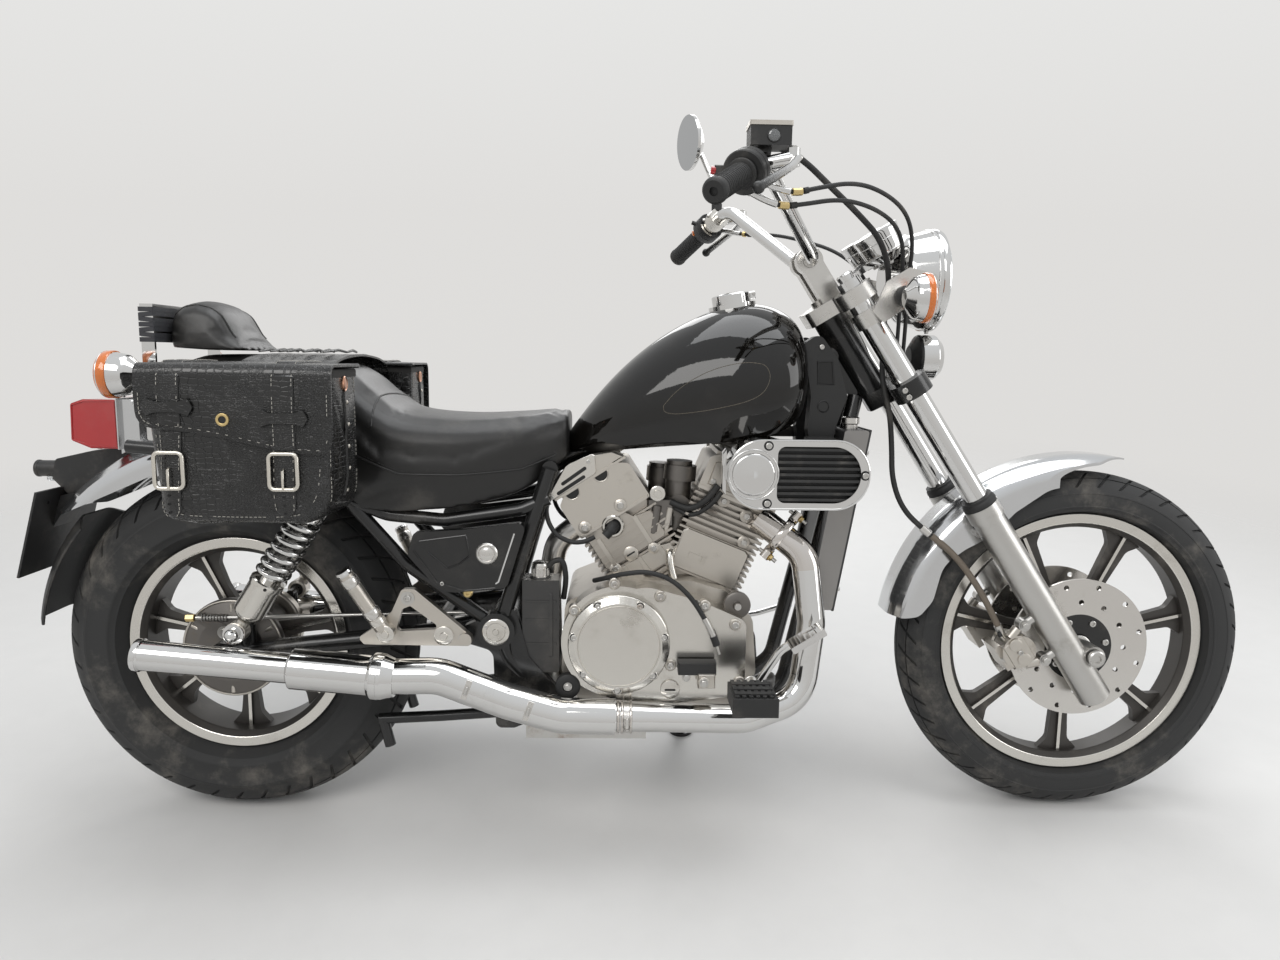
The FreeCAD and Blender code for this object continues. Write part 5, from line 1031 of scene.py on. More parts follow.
def build_lid(side, name):
    """The lid: a flap from the hinge over the edge and down the face, with two strap ends, keepers and an eyelet."""
    flap = Piece(name + "_flap")
    inner, out, top = BAG_IN - 6, BAG_OUT + 2.2, BAG_TOP + 2.2
    rows, thick = [], 3.6
    x0, x1 = BAG_REAR - 3, BAG_FRONT + 3
    ends = (0, 1.5, 6, 14, 24)
    stations = [x0 + u for u in ends] + [x0 + 24 + (x1 - x0 - 48) * k / 16 for k in range(1, 16)]
    stations += [x1 - u for u in reversed(ends)]
    for x in stations:
        bottom = flap_edge(x)
        near = min(x - x0, x1 - x)
        if near < 24:
            bottom += 24 - math.sqrt(max(0, 24 ** 2 - (24 - near) ** 2))
        crown = 3.0 * math.sin(math.pi * (x - x0) / (x1 - x0))
        path = [(inner, top - 1), (inner + 20, top + crown * 0.4), (inner + 60, top + crown),
                (out - 40, top + crown * 0.9), (out - 16, top + crown * 0.5)]
        path += [p for d in (75, 55, 35, 15, 0) for p in arc(out - 14, top + crown * 0.4 - 14, 14, d, 0, 1)]
        high = top - 14
        path += [(out + 1.6 * math.sin(math.pi * k / 12), high + (bottom - high) * k / 12) for k in range(1, 13)]
        outer = []
        for i, (y, z) in enumerate(path):
            a, b = path[max(0, i - 1)], path[min(len(path) - 1, i + 1)]
            ny, nz = -(b[1] - a[1]), b[0] - a[0]
            length = math.hypot(ny, nz)
            outer.append((y + ny / length * thick, z + nz / length * thick))
        rows.append([(x, side * y, z) for y, z in outer] + [(x, side * y, z) for y, z in reversed(path)])
    flap.skin(rows, "bag_leather")
    flap.rod((x0 + 2, side * inner, BAG_TOP + 3), (x1 - 2, side * inner, BAG_TOP + 3), 3.6, "strap_leather")
    made = flap.build(name + "_bag_lid", "bag_leather", [name + "_bag_lid"], smooth=50)
    on = Surface(made)
    trim = Piece(name + "_flap_trim")
    face = side * (BAG_OUT + 60)

    def on_face(x, z, off=0.0):
        return on.hit((x, face, z), (0, -side, 0), off)
    hem = []
    for k in range(61):
        x = x0 + 7 + (x1 - x0 - 14) * k / 60
        near = min(x - x0 - 7, x1 - 7 - x)
        z = flap_edge(x) + 6 + (18 - math.sqrt(max(0, 18 ** 2 - (18 - near) ** 2)) if near < 18 else 0)
        hem.append(on_face(x, z, 0.4))
    for x in (x0 + 7, x1 - 7):
        stitches(trim, [p for p in [on_face(x, z, 0.4) for z in range(772, 832, 6)] if p])
    stitches(trim, [p for p in hem if p])
    for rear in (True, False):
        centre, foot = (39, 747) if rear else (207, 721)
        rows = []
        path = [on.hit((centre, side * y, 950), (0, 0, -1)) for y in (200, 225, 250, 275, 300, 312)]
        path += [on_face(centre, z) for z in range(828, foot, -8)] + [on_face(centre, foot)]
        path = [p for p in path if p]
        for i, p in enumerate(path):
            a, b = path[max(0, i - 1)], path[min(len(path) - 1, i + 1)]
            normal = Vector((0, -(b.z - a.z) * side, (b.y - a.y) * side)).normalized()
            if normal.z < -0.2 or normal.y * side < -0.2:
                normal = -normal
            row = [p + normal * (2.8 if abs(u) < 0.9 else 1.6) + Vector((u * 17, 0, 0))
                   for u in (-1, -0.85, 0, 0.85, 1)]
            rows.append(row + [q - normal * 3.4 for q in reversed(row)])
        trim.skin(rows, "strap_leather")
        for edge in (1, 3):
            stitches(trim, [row[edge] + Vector((0, side * 0.3, 0.2)) for row in rows])
        keeper_z = 783 if rear else 768
        line = []
        for u in [k / 12 for k in range(-12, 13)]:
            half = 8.5 + 5.5 * max(0.0, abs(u) - 0.45) ** 1.2 * 3.2 if abs(u) < 0.86 else 13 * (1.02 - abs(u)) / 0.16
            p = on_face(centre + u * 37, keeper_z, 1.0)
            raise_by = 4.6 if abs(u) < 0.5 else 4.6 - (abs(u) - 0.5) * 6
            corners = ((0, -half), (2.2, -half * 0.9), (2.2, half * 0.9), (0, half))
            line.append([p + Vector((0, side * (raise_by + more), up)) for more, up in corners])
        trim.skin(line, "strap_leather")
        for u in (-1, 1):
            trim.lathe([(3.2, 4.4), (4.6, 4.2), (6.0, 2.6), (6.4, 0.01)], on_face(centre + u * 27, keeper_z),
                       (0, side, 0), "buckle", 18)
    trim.lathe([(0.2, 10), (2.0, 9.6), (2.6, 7.6), (2.0, 5.8), (0.3, 5.4), (0.3, 0.01)], on_face(118, 765),
               (0, side, 0), "brass", 28)
    # The eyelet's hole is painted shade: a near-black disc inside the brass ring.
    trim.lathe([(0.35, 5.3), (0.7, 5.3), (0.7, 0.01)], on_face(118, 765), (0, side, 0), "painted_recess_shade", 20)
    trim.build(name + "_bag_lid", "bag_leather")


def build_yoke():
    """The wide strap that joins the bags over the seat, with its tassel ends."""
    half = [(193, 706), (193, 760), (191, 808), (182, 834), (160, 848), (120, 857), (60, 862)]
    arch = [(-y, z) for y, z in half] + [(0, 864)] + half[::-1]
    yoke = Piece("saddlebag_yoke")
    rows = []
    for k in range(57):
        y, z = smooth_point(arch, k / 56)
        wave = 1.2 * math.sin(k * 0.9)
        row = [(x, y, z + (wave if i % 2 else 0)) for i, x in enumerate((72, 74, 110, 150, 190, 228, 230))]
        rows.append(row + [(x, y * 0.985, z0 - 3.4) for x, _, z0 in reversed(row)])
    yoke.skin(rows, "strap_leather")
    random.seed(11)
    for k in range(9):
        x, y = 84 + 17 * k, -64 + random.uniform(-12, 12)
        bend = random.uniform(-8, 8)
        lace = [(x, y + 50, 868), (x + bend * 0.4, y + 18, 871), (x + bend, y - 16, 869),
                (x + bend * 1.4, y - 44, 867)]
        yoke.tube(lace, [2.2, 2.6, 2.4, 1.6], "strap_leather", 8)
    yoke.build("chassis", "bag_leather", ["saddlebags"])


def build_bags():
    for side, name in BOTH_SIDES:
        build_bag(side, name)
        build_lid(side, name)
    build_yoke()


# Engine

def bore_frame(tilt, offset):
    """A cylinder's own frame: X across it, Y lateral, Z up its bore from the crankshaft."""
    turn = Matrix.Rotation(math.radians(tilt), 4, "Y")
    return Matrix.Translation((CRANK_X, 0, CRANK_Z)) @ turn @ Matrix.Translation((offset, 0, 0))


def ring(piece, centre, axis, radius, r, finish, sides=10, steps=48):
    """A round wire or bead bent into a circle."""
    turn = aimed(centre, axis)
    piece.tube([turn @ Vector((x, y, 0)) for x, y in spots(steps, radius)], r, finish, sides, closed=True)


def build_rear_head():
    for side in (-1, 1):
        head = Piece("rear_head_details_" + ("right" if side < 0 else "left"), BIKE @ bore_frame(-33, 10))

        def plate(outline, low, high, finish, soft=0.8):
            head.slab(outline, side * low, side * high, finish, soft=soft)

        def bolt(x, u, y, r, h, socket=True):
            head.bolt((x, side * y, u), (0, side, 0), r, h, "steel", socket)
        plate([(-72, 350), (-66, 362), (-22, 386), (26, 380), (60, 366), (72, 350)], 46, 84, "cast_alloy", 2.5)
        plate([(-75, 345.5), (75, 344.5), (75, 349), (-75, 350)], 80, 86.2, "cast_alloy")
        plate([(-86, 351), (-84, 357), (-26, 389), (-16, 390), (26, 383), (30, 378), (16, 352), (10, 350)], 84.4, 88,
              "polished_alloy", 0.7)
        # The two slots are painted shade: near-black plates set into the cover.
        for x0, u0, x1, u1 in ((-46, 365.5, 2, 368), (-62, 355, -8, 356)):
            plate(stadium(x0, u0, x1, u1, 3.2), 87.4, 88.3, "painted_recess_shade", 0.0)
        for x, u in ((-76, 354.5), (14, 375)):
            bolt(x, u, 87.6, 3.6, 2.4)
        # Each half-round recess is painted shade: a near-black plate inside a raised rim.
        for x in (20, -41):
            plate(arc(x, 344, 13, 180, 15, 13), 83, 84.5, "painted_recess_shade", 0.0)
            head.tube([(u, side * 84.6, v) for u, v in arc(x, 344, 13.6, 180, 15, 13)], 1.2, "cast_alloy", 8)
        for x in (20, -56):
            head.lathe([(0, 12), (3, 11.5), (4.5, 9.5), (4.5, 0.01)], (x, side * 83.6, 277), (0, side, 0),
                       "cast_alloy", 32)
            bolt(x, 277, 88, 6.2, 5)
        plate([(-70, 262), (70, 262), (72, 268), (-72, 268)], 83, 86, "cast_alloy", 1)
        head.lathe([(-16, 12.5), (6, 13.5), (7.5, 15), (7.5, 18.5), (5.5, 20.5), (-6, 21.5), (-16, 21.5)],
                   (-12, side * 82, 252), (0, side, 0), "polished_alloy", 40)
        # The plug well is painted shade: a near-black disc inside the boss.
        head.lathe([(0, 13.4), (2, 13.4), (2, 0.01)], (-12, side * 82, 252), (0, side, 0), "painted_recess_shade", 32)
        boot = curve([(-12, side * 82, 252), (-13, side * 91, 251), (-20, side * 97, 249), (-32, side * 99, 246)], 6)
        head.tube(boot, [11] * 6 + [10.4] * 7 + [8.6] * 6, "black_rubber", 16)
        plate([(-62, 186), (58, 186), (62, 192), (62, 240), (30, 247), (20, 262), (-66, 262), (-66, 192)], 76, 81,
              "fin_alloy", 1.6)
        for u in (199, 212, 225, 238):
            plate([(-64, u - 1.1), (60, u - 1.1), (60, u + 1.1), (-64, u + 1.1)], 80, 82.6, "fin_alloy", 0.4)
        for x, top in ((30, 247), (-48, 246)):
            plate([(x - 4, 188), (x + 4, 188), (x + 4, top), (x - 4, top)], 80, 84, "cast_alloy", 1.2)
        head.lathe([(0, 14), (3, 13.5), (4, 12), (4, 0.01)], (-12, side * 80.5, 191), (0, side, 0), "cast_alloy", 36)
        # The slot is painted shade: a near-black plate on the boss.
        plate(stadium(-19, 191, -5, 191, 1.5), 84.2, 84.9, "painted_recess_shade", 0.0)
        for x, u in ((28, 177), (-51, 182)):
            head.lathe([(0, 11), (5, 10.5), (6, 9), (6, 0.01)], (x, side * 76, u), (0, side, 0), "cast_alloy", 28)
            bolt(x, u, 82, 5.6, 4.5)
        plate([(-66, 146), (60, 140), (60, 170), (40, 176), (-62, 178)], 74, 79.5, "cast_alloy", 2)
        for x0, x1 in ((-40, -30), (-8, 2), (34, 44)):
            plate([(x0, 142), (x1, 142), (x1 - 2, 178), (x0 + 2, 178)], 78, 82, "cast_alloy", 1.4)
        head.build("chassis", "alloy", bevel=0.4)
    lead = Piece("spark_lead")
    for side in (-1, 1):
        route = ((664, 99, 545), (646, 101, 537), (622, 101, 536), (596, 97, 548), (580, 92, 572), (577, 84, 600),
                 (590, 66, 632), (612, 40, 652))
        lead.tube(curve([(x, side * y, z) for x, y, z in route]), 4.2, "black_rubber", 12)
    lead.build("chassis", "alloy")


def build_front_head():
    for side in (-1, 1):
        head = Piece("front_head_details_" + ("right" if side < 0 else "left"), BIKE @ bore_frame(22, -20))

        def plate(outline, low, high, finish, soft=0.8):
            head.slab(outline, side * low, side * high, finish, soft=soft)
        plate([(-64, 116), (60, 116), (64, 124), (64, 186), (56, 192), (-60, 192), (-66, 184), (-66, 124)], 74, 80.5,
              "cast_alloy", 3)
        plate([(-40, 140), (-14, 140), (-14, 152), (-40, 152)], 80, 81.2, "cast_alloy", 0.6)
        for k in range(6):
            u = 202 + 11 * k
            plate([(-76, u), (76, u), (76, u + 4.4), (-76, u + 4.4)], 77, 82.5, "fin_alloy", 1.2)
        for x, u, r in ((44, 206, 9), (-58, 232, 8), (30, 252, 10), (-20, 262, 9)):
            head.lathe([(0, r + 3), (5, r + 2.6), (6.5, r), (6.5, 0.01)], (x, side * 78, u), (0, side, 0),
                       "fin_alloy", 28)
            head.bolt((x, side * 84, u), (0, side, 0), r * 0.6, 5, "steel", True)
        plate([(-74, 268), (74, 268), (76, 275), (-76, 275)], 83, 86.4, "cast_alloy", 1)
        plate([(-60, 280), (20, 280), (14, 328), (-40, 334), (-62, 322)], 83, 86, "cast_alloy", 2.4)
        for x, u in ((-52, 288), (10, 288), (-46, 322), (4, 320)):
            head.bolt((x, side * 85.6, u), (0, side, 0), 5, 4, "steel", True)
        head.lathe([(0, 16), (8, 15), (9, 12.5), (3, 12), (3, 0.01)], (34, side * 83, 296), (0, side, 0),
                   "cast_alloy", 32)
        head.tube(curve([(34, side * 86, 296), (36, side * 94, 297), (46, side * 98, 300), (60, side * 96, 306)], 6),
                  10, "black_rubber", 14)
        head.build("chassis", "alloy", bevel=0.4)
    valley = Piece("valley_fittings")
    for x, z, y, r in ((739, 622, -66, 17), (782, 560, -60, 13)):
        valley.lathe([(0, r), (12, r), (14, r - 3), (14, r * 0.4), (17, r * 0.35), (17, 0.01)], (x, y, z), (0, -1, 0),
                     "cast_alloy", 28)
    valley.lathe([(0, 14), (4, 14), (5, 12), (5, 7), (8, 6.5), (8, 0.01)], (776, -78, 622), (0, -1, 0),
                 "polished_alloy", 28)
    valley.block((758, -76, 560), (806, -40, 612), "dark_casting", 4)
    valley.rod((770, -74, 548), (776, -74, 600), 9, "dark_casting")
    valley.rod((792, -70, 552), (800, -72, 596), 7, "cast_alloy")
    valley.tube(curve([(800, -74, 606), (834, -82, 596), (862, -92, 612), (884, -96, 640)]), 6, "black_rubber", 12)
    valley.tube(curve([(806, -70, 596), (838, -80, 584), (866, -92, 600), (890, -98, 628)]), 4.5, "black_rubber", 12)
    pipe = curve([(806, -66, 500), (800, -84, 512), (803, -92, 486), (812, -96, 456)])
    valley.tube(pipe, [9] * 8 + [7] * 17, "polished_alloy", 16)
    valley.build("chassis", "alloy", bevel=0.3)


def build_crankcase():
    cover = Piece("clutch_cover_details")
    clutch_x, clutch_z = 709, 370
    ring(cover, (clutch_x, -186.1, clutch_z), (0, -1, 0), 71, 0.9, "cast_alloy")
    for x, z in ((672, 441), (745, 441), (628, 385), (789, 386), (643, 315), (772, 314), (707, 289)):
        out = Vector((x - clutch_x, 0, z - clutch_z)).normalized() * 79.5
        at = Vector((clutch_x, -178.6, clutch_z)) + out
        cover.lathe([(0, 9), (3.6, 9), (4.4, 8), (4.4, 0.01)], at, (0, -1, 0), "polished_alloy", 28)
        # Each bolt's counterbore is painted shade: a near-black disc round the screw.
        cover.lathe([(4.0, 6.8), (4.7, 6.8), (4.7, 0.01)], at, (0, -1, 0), "painted_recess_shade", 24)
        cover.bolt(at + Vector((0, -4.2, 0)), (0, -1, 0), 5.2, 3.4, "steel", True)
    for x, z in ((700, 476), (780, 454), (631, 428), (858, 438), (800, 330), (912, 404), (922, 300)):
        cover.lathe([(-14, 10.5), (0, 10.5), (1.6, 9), (1.6, 0.01)], (x, -166, z), (0, -1, 0), "cast_alloy", 28)
        cover.bolt((x, -167.2, z), (0, -1, 0), 6.4, 5, "steel", True)
    cover.lathe([(0, 17), (5, 17), (6, 15), (6, 0.01)], (800, -163, 286), (0, -1, 0), "polished_alloy", 36)
    # The plug's slot is painted shade: a near-black plate.
    cover.slab(stadium(792, 286, 808, 286, 1.8), -169.6, -168.6, "painted_recess_shade")
    cover.lathe([(0, 24), (8, 24), (10, 21), (10, 8), (16, 7), (16, 0.01)], (917, -140, 434), (0, -1, 0),
                "dark_casting", 36)
    cover.lathe([(15, 6.5), (20, 6), (20, 0.01)], (917, -140, 434), (0, -1, 0), "steel", 20)
    cover.block((894, -150, 366), (914, -124, 420), "black_rubber", 3)
    cover.block((812, -196, 322), (878, -168, 344), "black_plastic", 3)
    cover.block((846, -200, 300), (876, -172, 326), "cast_alloy", 3)
    cover.rod((856, -204, 312), (856, -168, 312), 10, "cast_alloy")
    cover.bolt((856, -204, 312), (0, -1, 0), 6, 5, "steel")
    cover.bolt((826, -192, 318), (0, -1, 0), 6, 6, "steel")
    cover.lathe([(0, 22), (14, 22), (17, 18), (17, 9), (14, 8), (14, 0.01)], (620, -152, 290), (0, -1, 0),
                "black_rubber", 36)
    cover.bolt((620, -166, 290), (0, -1, 0), 6, 5, "steel")
    cover.build("chassis", "alloy", bevel=0.3)
    lead = Piece("clutch_arm_cable")
    route = curve([(664, -120, 470), (684, -150, 482), (716, -168, 494), (756, -176, 499), (796, -178, 487),
                   (830, -180, 458), (856, -181, 420), (874, -181, 384), (884, -182, 356)])
    lead.tube(route[:50], 4.3, "black_rubber", 12)
    lead.tube(route[48:56], 5.4, "steel", 12)
    lead.tube(route[55:60], 6.6, "black_rubber", 12)
    lead.tube(route[59:], 2.0, "steel", 8)
    lead.build("chassis", "alloy")
    left = Piece("left_cover_details")
    for u, v in spots(6, 76, 0.4):
        left.bolt((CRANK_X + u, 170.5, CRANK_Z + v), (0, 1, 0), 5.4, 4, "steel", True)
    for x, z in ((640, 306), (700, 276), (800, 262), (916, 280), (926, 392), (862, 436), (742, 440), (640, 414)):
        left.lathe([(-6, 10), (1.5, 10), (2.5, 8), (2.5, 0.01)], (x, 151, z), (0, 1, 0), "cast_alloy", 24)
        left.bolt((x, 153, z), (0, 1, 0), 5.6, 4.5, "steel", True)
    ring(left, (CRANK_X, 180.2, CRANK_Z), (0, 1, 0), 44, 0.9, "cast_alloy")
    left.build("chassis", "alloy", bevel=0.3)


def build_air_cleaners():
    for side in (-1, 1):
        cleaner = Piece("air_cleaner_trim_" + ("right" if side < 0 else "left"))
        y = side * 188
        for x, z in ((957, 721), (957, 623), (1122, 672)):
            # Each bolt recess is painted shade: a near-black disc under the screw.
            cleaner.lathe([(-1, 8.4), (0.9, 8.2), (0.9, 0.01)], (x, y, z), (0, side, 0), "painted_recess_shade", 24)
            cleaner.bolt((x, y + side * 0.6, z), (0, side, 0), 5.4, 3, "steel", True)
        ring(cleaner, (933, y + side * 0.2, 672), (0, side, 0), 42, 1.5, "chrome")
        edge = [(u, y - side * 0.6, v) for u, v in stadium(1071, 672, 949, 672, 58.5, 24)]
        cleaner.tube(edge, 1.8, "chrome", 8, closed=True)
        cleaner.slab([(884, 640), (890, 632), (890, 712), (884, 704)], side * 134, side * 160, "chrome", soft=1)
        cleaner.build("chassis", "alloy")


def clip_band(piece, centre, axis, radius, width, finish, lug=(0, -1, 0)):
    """A worm clip round a pipe: the band, its housing and its screw."""
    along = Vector(axis).normalized()
    half = width / 2
    band = [(-half, radius), (-half, radius + 1.2), (half, radius + 1.2), (half, radius), (-half, radius)]
    piece.lathe(band, centre, along, finish, 56)
    out = Vector(lug).normalized()
    up = along.cross(out)
    seat = Vector(centre) + out * (radius + 3)
    piece.rod(seat - up * 9, seat + up * 9, 3.6, finish, 12)
    piece.bolt(seat + up * 9, up, 4, 4, "steel")


def silencer_ends(piece, y):
    """The collar before a silencer and the rolled lip at its tail."""
    piece.lathe([(-2, 37), (0, 40.6), (10, 40.6), (12, 37)], (300, y, 316), (-412, 0, 36), "chrome", 64)
    piece.lathe([(-0.4, 21.4), (-0.4, 27.4), (1.4, 28.4), (9, 28.4), (9.6, 26.4)], (-112, y, 352), (412, 0, -36),
                "chrome", 56)


def build_exhausts():
    right = Piece("right_exhaust_trim")
    for x, r in ((709, 27.4), (716, 27.8), (731, 27.6)):
        ring(right, (x, -190, 245), (1, 0, 0), r - 1.6, 2.6, "hot_chrome")
    clip_band(right, (724, -190, 244.6), (1, 0, 0), 25.2, 10, "brushed_alloy")
    for x, z in ((452, 299), (556, 262)):
        out = Vector((0, -1, 0.16)).normalized()
        centre = Vector((x, -190, z))
        along = Vector((1, 0, -0.36)).normalized()
        seat = centre + out * 31.2
        up = along.cross(out)
        right.slab([(-17, -5), (17, -5), (17, 5), (-17, 5)], -0.8, 0.9, "brushed_alloy", "Z", 0.4,
                   Matrix.Translation(seat) @ Matrix((up, along, out)).transposed().to_4x4())
        right.rod(seat - up * 6 + out * 3, seat + up * 8 + out * 3, 3.2, "steel", 12)
    silencer_ends(right, -190)
    flange = Vector((1000, -97, 551))
    axis = Vector((8, -3, -6)).normalized()
    across = axis.cross(Vector((0, 1, 0))).normalized()
    right.lathe([(-7, 26), (-7, 36), (-4, 38), (5, 38), (8, 36), (8, 27)], flange, axis, "hot_chrome", 56)
    for k in (-1, 1):
        at = flange + across * 44 * k
        right.tube([flange + across * 30 * k, flange + across * 52 * k], 9, "hot_chrome", 16)
        right.bolt(at + axis * 8, axis, 6.2, 6, "brass").rod(at - axis * 16, at + axis * 22, 3.4, "steel", 12)
    right.build("chassis", "bright_pipe")
    left = Piece("left_exhaust_trim")
    silencer_ends(left, 190)
    clip_band(left, (480, 190, 291), (110, 0, -42), 31.4, 10, "brushed_alloy", (0, 1, 0))
    left.build("chassis", "bright_pipe")


def build_shocks():
    """Each shock absorber: an eye, a polished lower cup, the damper rod and body, and a chromed coil spring."""
    low, high = Vector((42, 0, 381)), Vector((196, 0, 626))
    length, along = (high - low).length, (high - low).normalized()
    side_on = Vector((along.z, 0, -along.x))
    shock = Piece("shock_absorbers_with_springs")
    for side in (-1, 1):
        base = low + Vector((0, side * 150, 0))

        def at(u):
            return base + along * u
        for place in (base, base + along * length):
            eye = [(-14, 8.4), (-14, 15), (-12, 18.6), (12, 18.6), (14, 15), (14, 8.4), (-14, 8.4)]
            shock.lathe(eye, place, (0, 1, 0), "cast_alloy", 40)
            bush = [(-14.2, 8.4), (-14.2, 13), (14.2, 13), (14.2, 8.4), (-14.2, 8.4)]
            shock.lathe(bush, place, (0, 1, 0), "black_rubber", 32)
            washer = [(14.5, 18), (17.5, 18), (18, 8.4), (14.5, 8.4), (14.5, 18)]
            shock.lathe(washer, place, (0, side, 0), "chrome", 40)
            dome = [(24 + 0.875 * v, u) for u, v in arc(0, 0, 12, 0, 10, 9)]
            nut = [(17, 0.01), (17, 13), (18, 13), (24, 12.6), *dome, (34.6, 0.01)]
            shock.lathe(nut, place, (0, side, 0), "chrome", 40)
        shock.rod(at(12), at(30), 11, "cast_alloy").rod(at(length - 32), at(length - 12), 12, "chrome")
        cup = [(26, 0.01), (26, 13), (32, 19), (40, 26), (46, 27.5), (96, 27.5), (100, 29.5), (108, 29.5), (110, 27),
               (110, 15)]
        shock.lathe(cup, base, along, "polished_alloy", 56)
        shock.rod(at(100), at(length - 30), 15, "chrome", 32)
        top = length - 44
        cap = [(top - 3, 12), (top - 3, 28), (top, 29), (top + 6, 29), (length - 24, 26.5), (length - 19, 22),
               (length - 18, 0.01)]
        shock.lathe(cap, base, along, "chrome", 56)
        turns, r, wire, foot = 7.5, 25.6, 4.9, 111
        route = []
        for k in range(int(turns * 28) + 1):
            share = k / (turns * 28)
            eased = share * 0.94 + 0.06 * (0.5 - 0.5 * math.cos(math.pi * share))
            a = math.tau * turns * share
            route.append(at(foot + wire + (top - 3 - foot - 2 * wire) * eased) + side_on * (r * math.cos(a))
                         + Vector((0, r * math.sin(a), 0)))
        shock.tube(route, wire, "chrome", 14)
        # The cup's spanner holes are painted shade: short near-black discs on its side.
        for u, v in spots(5, 29.2):
            out = side_on * u + Vector((0, v, 0))
            shock.rod(at(103) + out, at(103) + out + out.normalized() * 0.7, 3.0, "painted_recess_shade", 12)
    shock.build("chassis", "chrome", ["rear_shocks"])


# Lamps, instruments and controls

def build_headlamp_trim():
    lamp = Piece("headlamp_trim")
    rim = [(86, 91.4), (88, 92.6), (94, 92.8), (98, 91.0), (99, 87.0), (96, 85.2), (95, 86.0), (94, 90.9), (86, 91.4)]
    lamp.lathe(rim, (HEADLAMP_BACK, 0, HEADLAMP_Z), (1, 0, 0), "chrome", 96)
    ring(lamp, (HEADLAMP_BACK + 78, 0, HEADLAMP_Z), (1, 0, 0), 91.2, 1.1, "chrome", steps=96)
    lamp.bolt((HEADLAMP_BACK + 90, 0, HEADLAMP_Z - 92), (0, 0, -1), 4, 4, "steel")
    lamp.rod((HEADLAMP_BACK + 30, 0, HEADLAMP_Z + 70), (HEADLAMP_BACK + 44, 0, HEADLAMP_Z + 79), 6, "chrome")
    for side in (1, -1):
        lamp.bolt((1236, side * 122.4, 998), (0, side, 0), 8, 6, "chrome")
        lamp.lathe([(0, 13), (1.6, 13), (1.6, 0.01)], (1236, side * 121.8, 998), (0, side, 0), "steel", 28)
    lamp.build("steering", "bright_shell")
    horn = Piece("horn_details")
    for r, x in ((27, 1300.6), (24, 1301.6), (12, 1302)):
        ring(horn, (x, 0, HORN_Z), (1, 0, 0), r, 1.0, "chrome")
    horn.bolt((1302, 0, HORN_Z), (1, 0, 0), 6, 4, "steel")
    for u, v in spots(6, 38):
        horn.bolt((1289.6, u, HORN_Z + v), (1, 0, 0), 2.6, 2, "steel", True)
    horn.build("steering", "bright_shell")


def build_signals():
    for name, body, x, z, r, depth, facing in (("front", "steering", 1172, 968, 40, 48, 1),
                                               ("rear", "chassis", -74, 826, 38, 66, -1)):
        trim = Piece(name + "_signal_trim")
        for side in (1, -1):
            centre = Vector((x, side * 188, z))
            ring(trim, centre + Vector((facing * depth * 0.845, 0, 0)), (facing, 0, 0), r * 0.965, 1.6, "chrome",
                 steps=64)
            near, far = depth * 0.62, depth * 0.83
            band = [(near, r * 0.9), (near, r + 0.2), (near + 1, r + 0.9), (far - 1, r + 0.9), (far, r + 0.2),
                    (far, r * 0.9), (near, r * 0.9)]
            trim.lathe(band, centre, (facing, 0, 0), "orange_lens", 64)
            for share, radius in ((0.885, 0.86), (0.935, 0.72), (0.965, 0.56)):
                ring(trim, centre + Vector((facing * depth * share, 0, 0)), (facing, 0, 0), r * radius, 1.0,
                     "orange_lens", 8, 56)
            if name == "front":
                stem = ((122.5, 0), (130.5, 0.8), (144.5, 2.4), (152.5, 3.2))
                stem = [(x + 22, side * y, z + 8 - drop) for y, drop in stem]
                trim.tube(stem, [17, 17.5, 15, 11], "black_rubber", 28)
            else:
                stem = [(-105, side * 126, 822), (-102, side * 140, 822), (-99, side * 152, 824)]
                trim.tube(stem, [14, 15, 11], "black_rubber", 28)
            trim.bolt(centre + Vector((facing * depth * 0.5, 0, -r * 0.9)), (0, 0, -1), 3, 3, "steel", True)
        trim.build(body, "bright_shell")


def build_tail():
    lamp = Piece("tail_lamp_trim")
    for y in (-74.4, 74.4):
        edge = [(-262, y, 768), (-264, y, 708), (-232, y, 695), (-187, y, 695), (-187, y, 776), (-240, y, 776)]
        lamp.tube(edge, 1.5, "red_lens", 8, closed=True)
    for k in range(9):
        z = 713 + 7.2 * k
        lamp.tube([(-266 + 0.03 * (z - 706), -66, z), (-266 + 0.03 * (z - 706), 66, z)], 0.9, "red_lens", 8)
    lamp.slab([(-184.6, 690), (-182.4, 690), (-182.4, 781), (-184.6, 781)], -75.5, 75.5, "silver_paint", soft=0.6)
    for y in (-50, 50):
        lamp.bolt((-231, y, 691.6), (0, 0, -1), 4, 3, "steel", True)
    lamp.build("chassis", "bright_shell")
    tilt = Matrix.Rotation(PLATE_TILT, 4, "Y")
    plate = Piece("number_plate_trim", BIKE @ Matrix.Translation((PLATE_X, 0, PLATE_Z)) @ tilt)
    plate.tube([(-2.3, y, z) for y, z in rounded(-97, -77, 97, 77, 9, 15)], 1.2, "plate_white", 8, closed=True)
    for y in (-60, 60):
        plate.bolt((-2, y, 56), (-1, 0, 0), 5.5, 4, "steel")
        plate.lathe([(0, 7.5), (1.2, 7.5), (1.2, 0.01)], (-2, y, 56), (-1, 0, 0), "black_rubber", 24)
    plate.build("chassis", "plate")
    light = Piece("plate_lamp_lens")
    light.lathe([(0, 13.5), (6, 13.5), (9, 10), (9, 0.01)], (-346, 0, 632.4), (0, 0, -1), "clear_lens", 32)
    light.lathe([(0, 15.4), (2, 16), (5, 16), (6, 15.4)], (-370, 0, 646), (-1, 0, 0), "black_plastic", 32)
    light.build("chassis", "bright_shell")


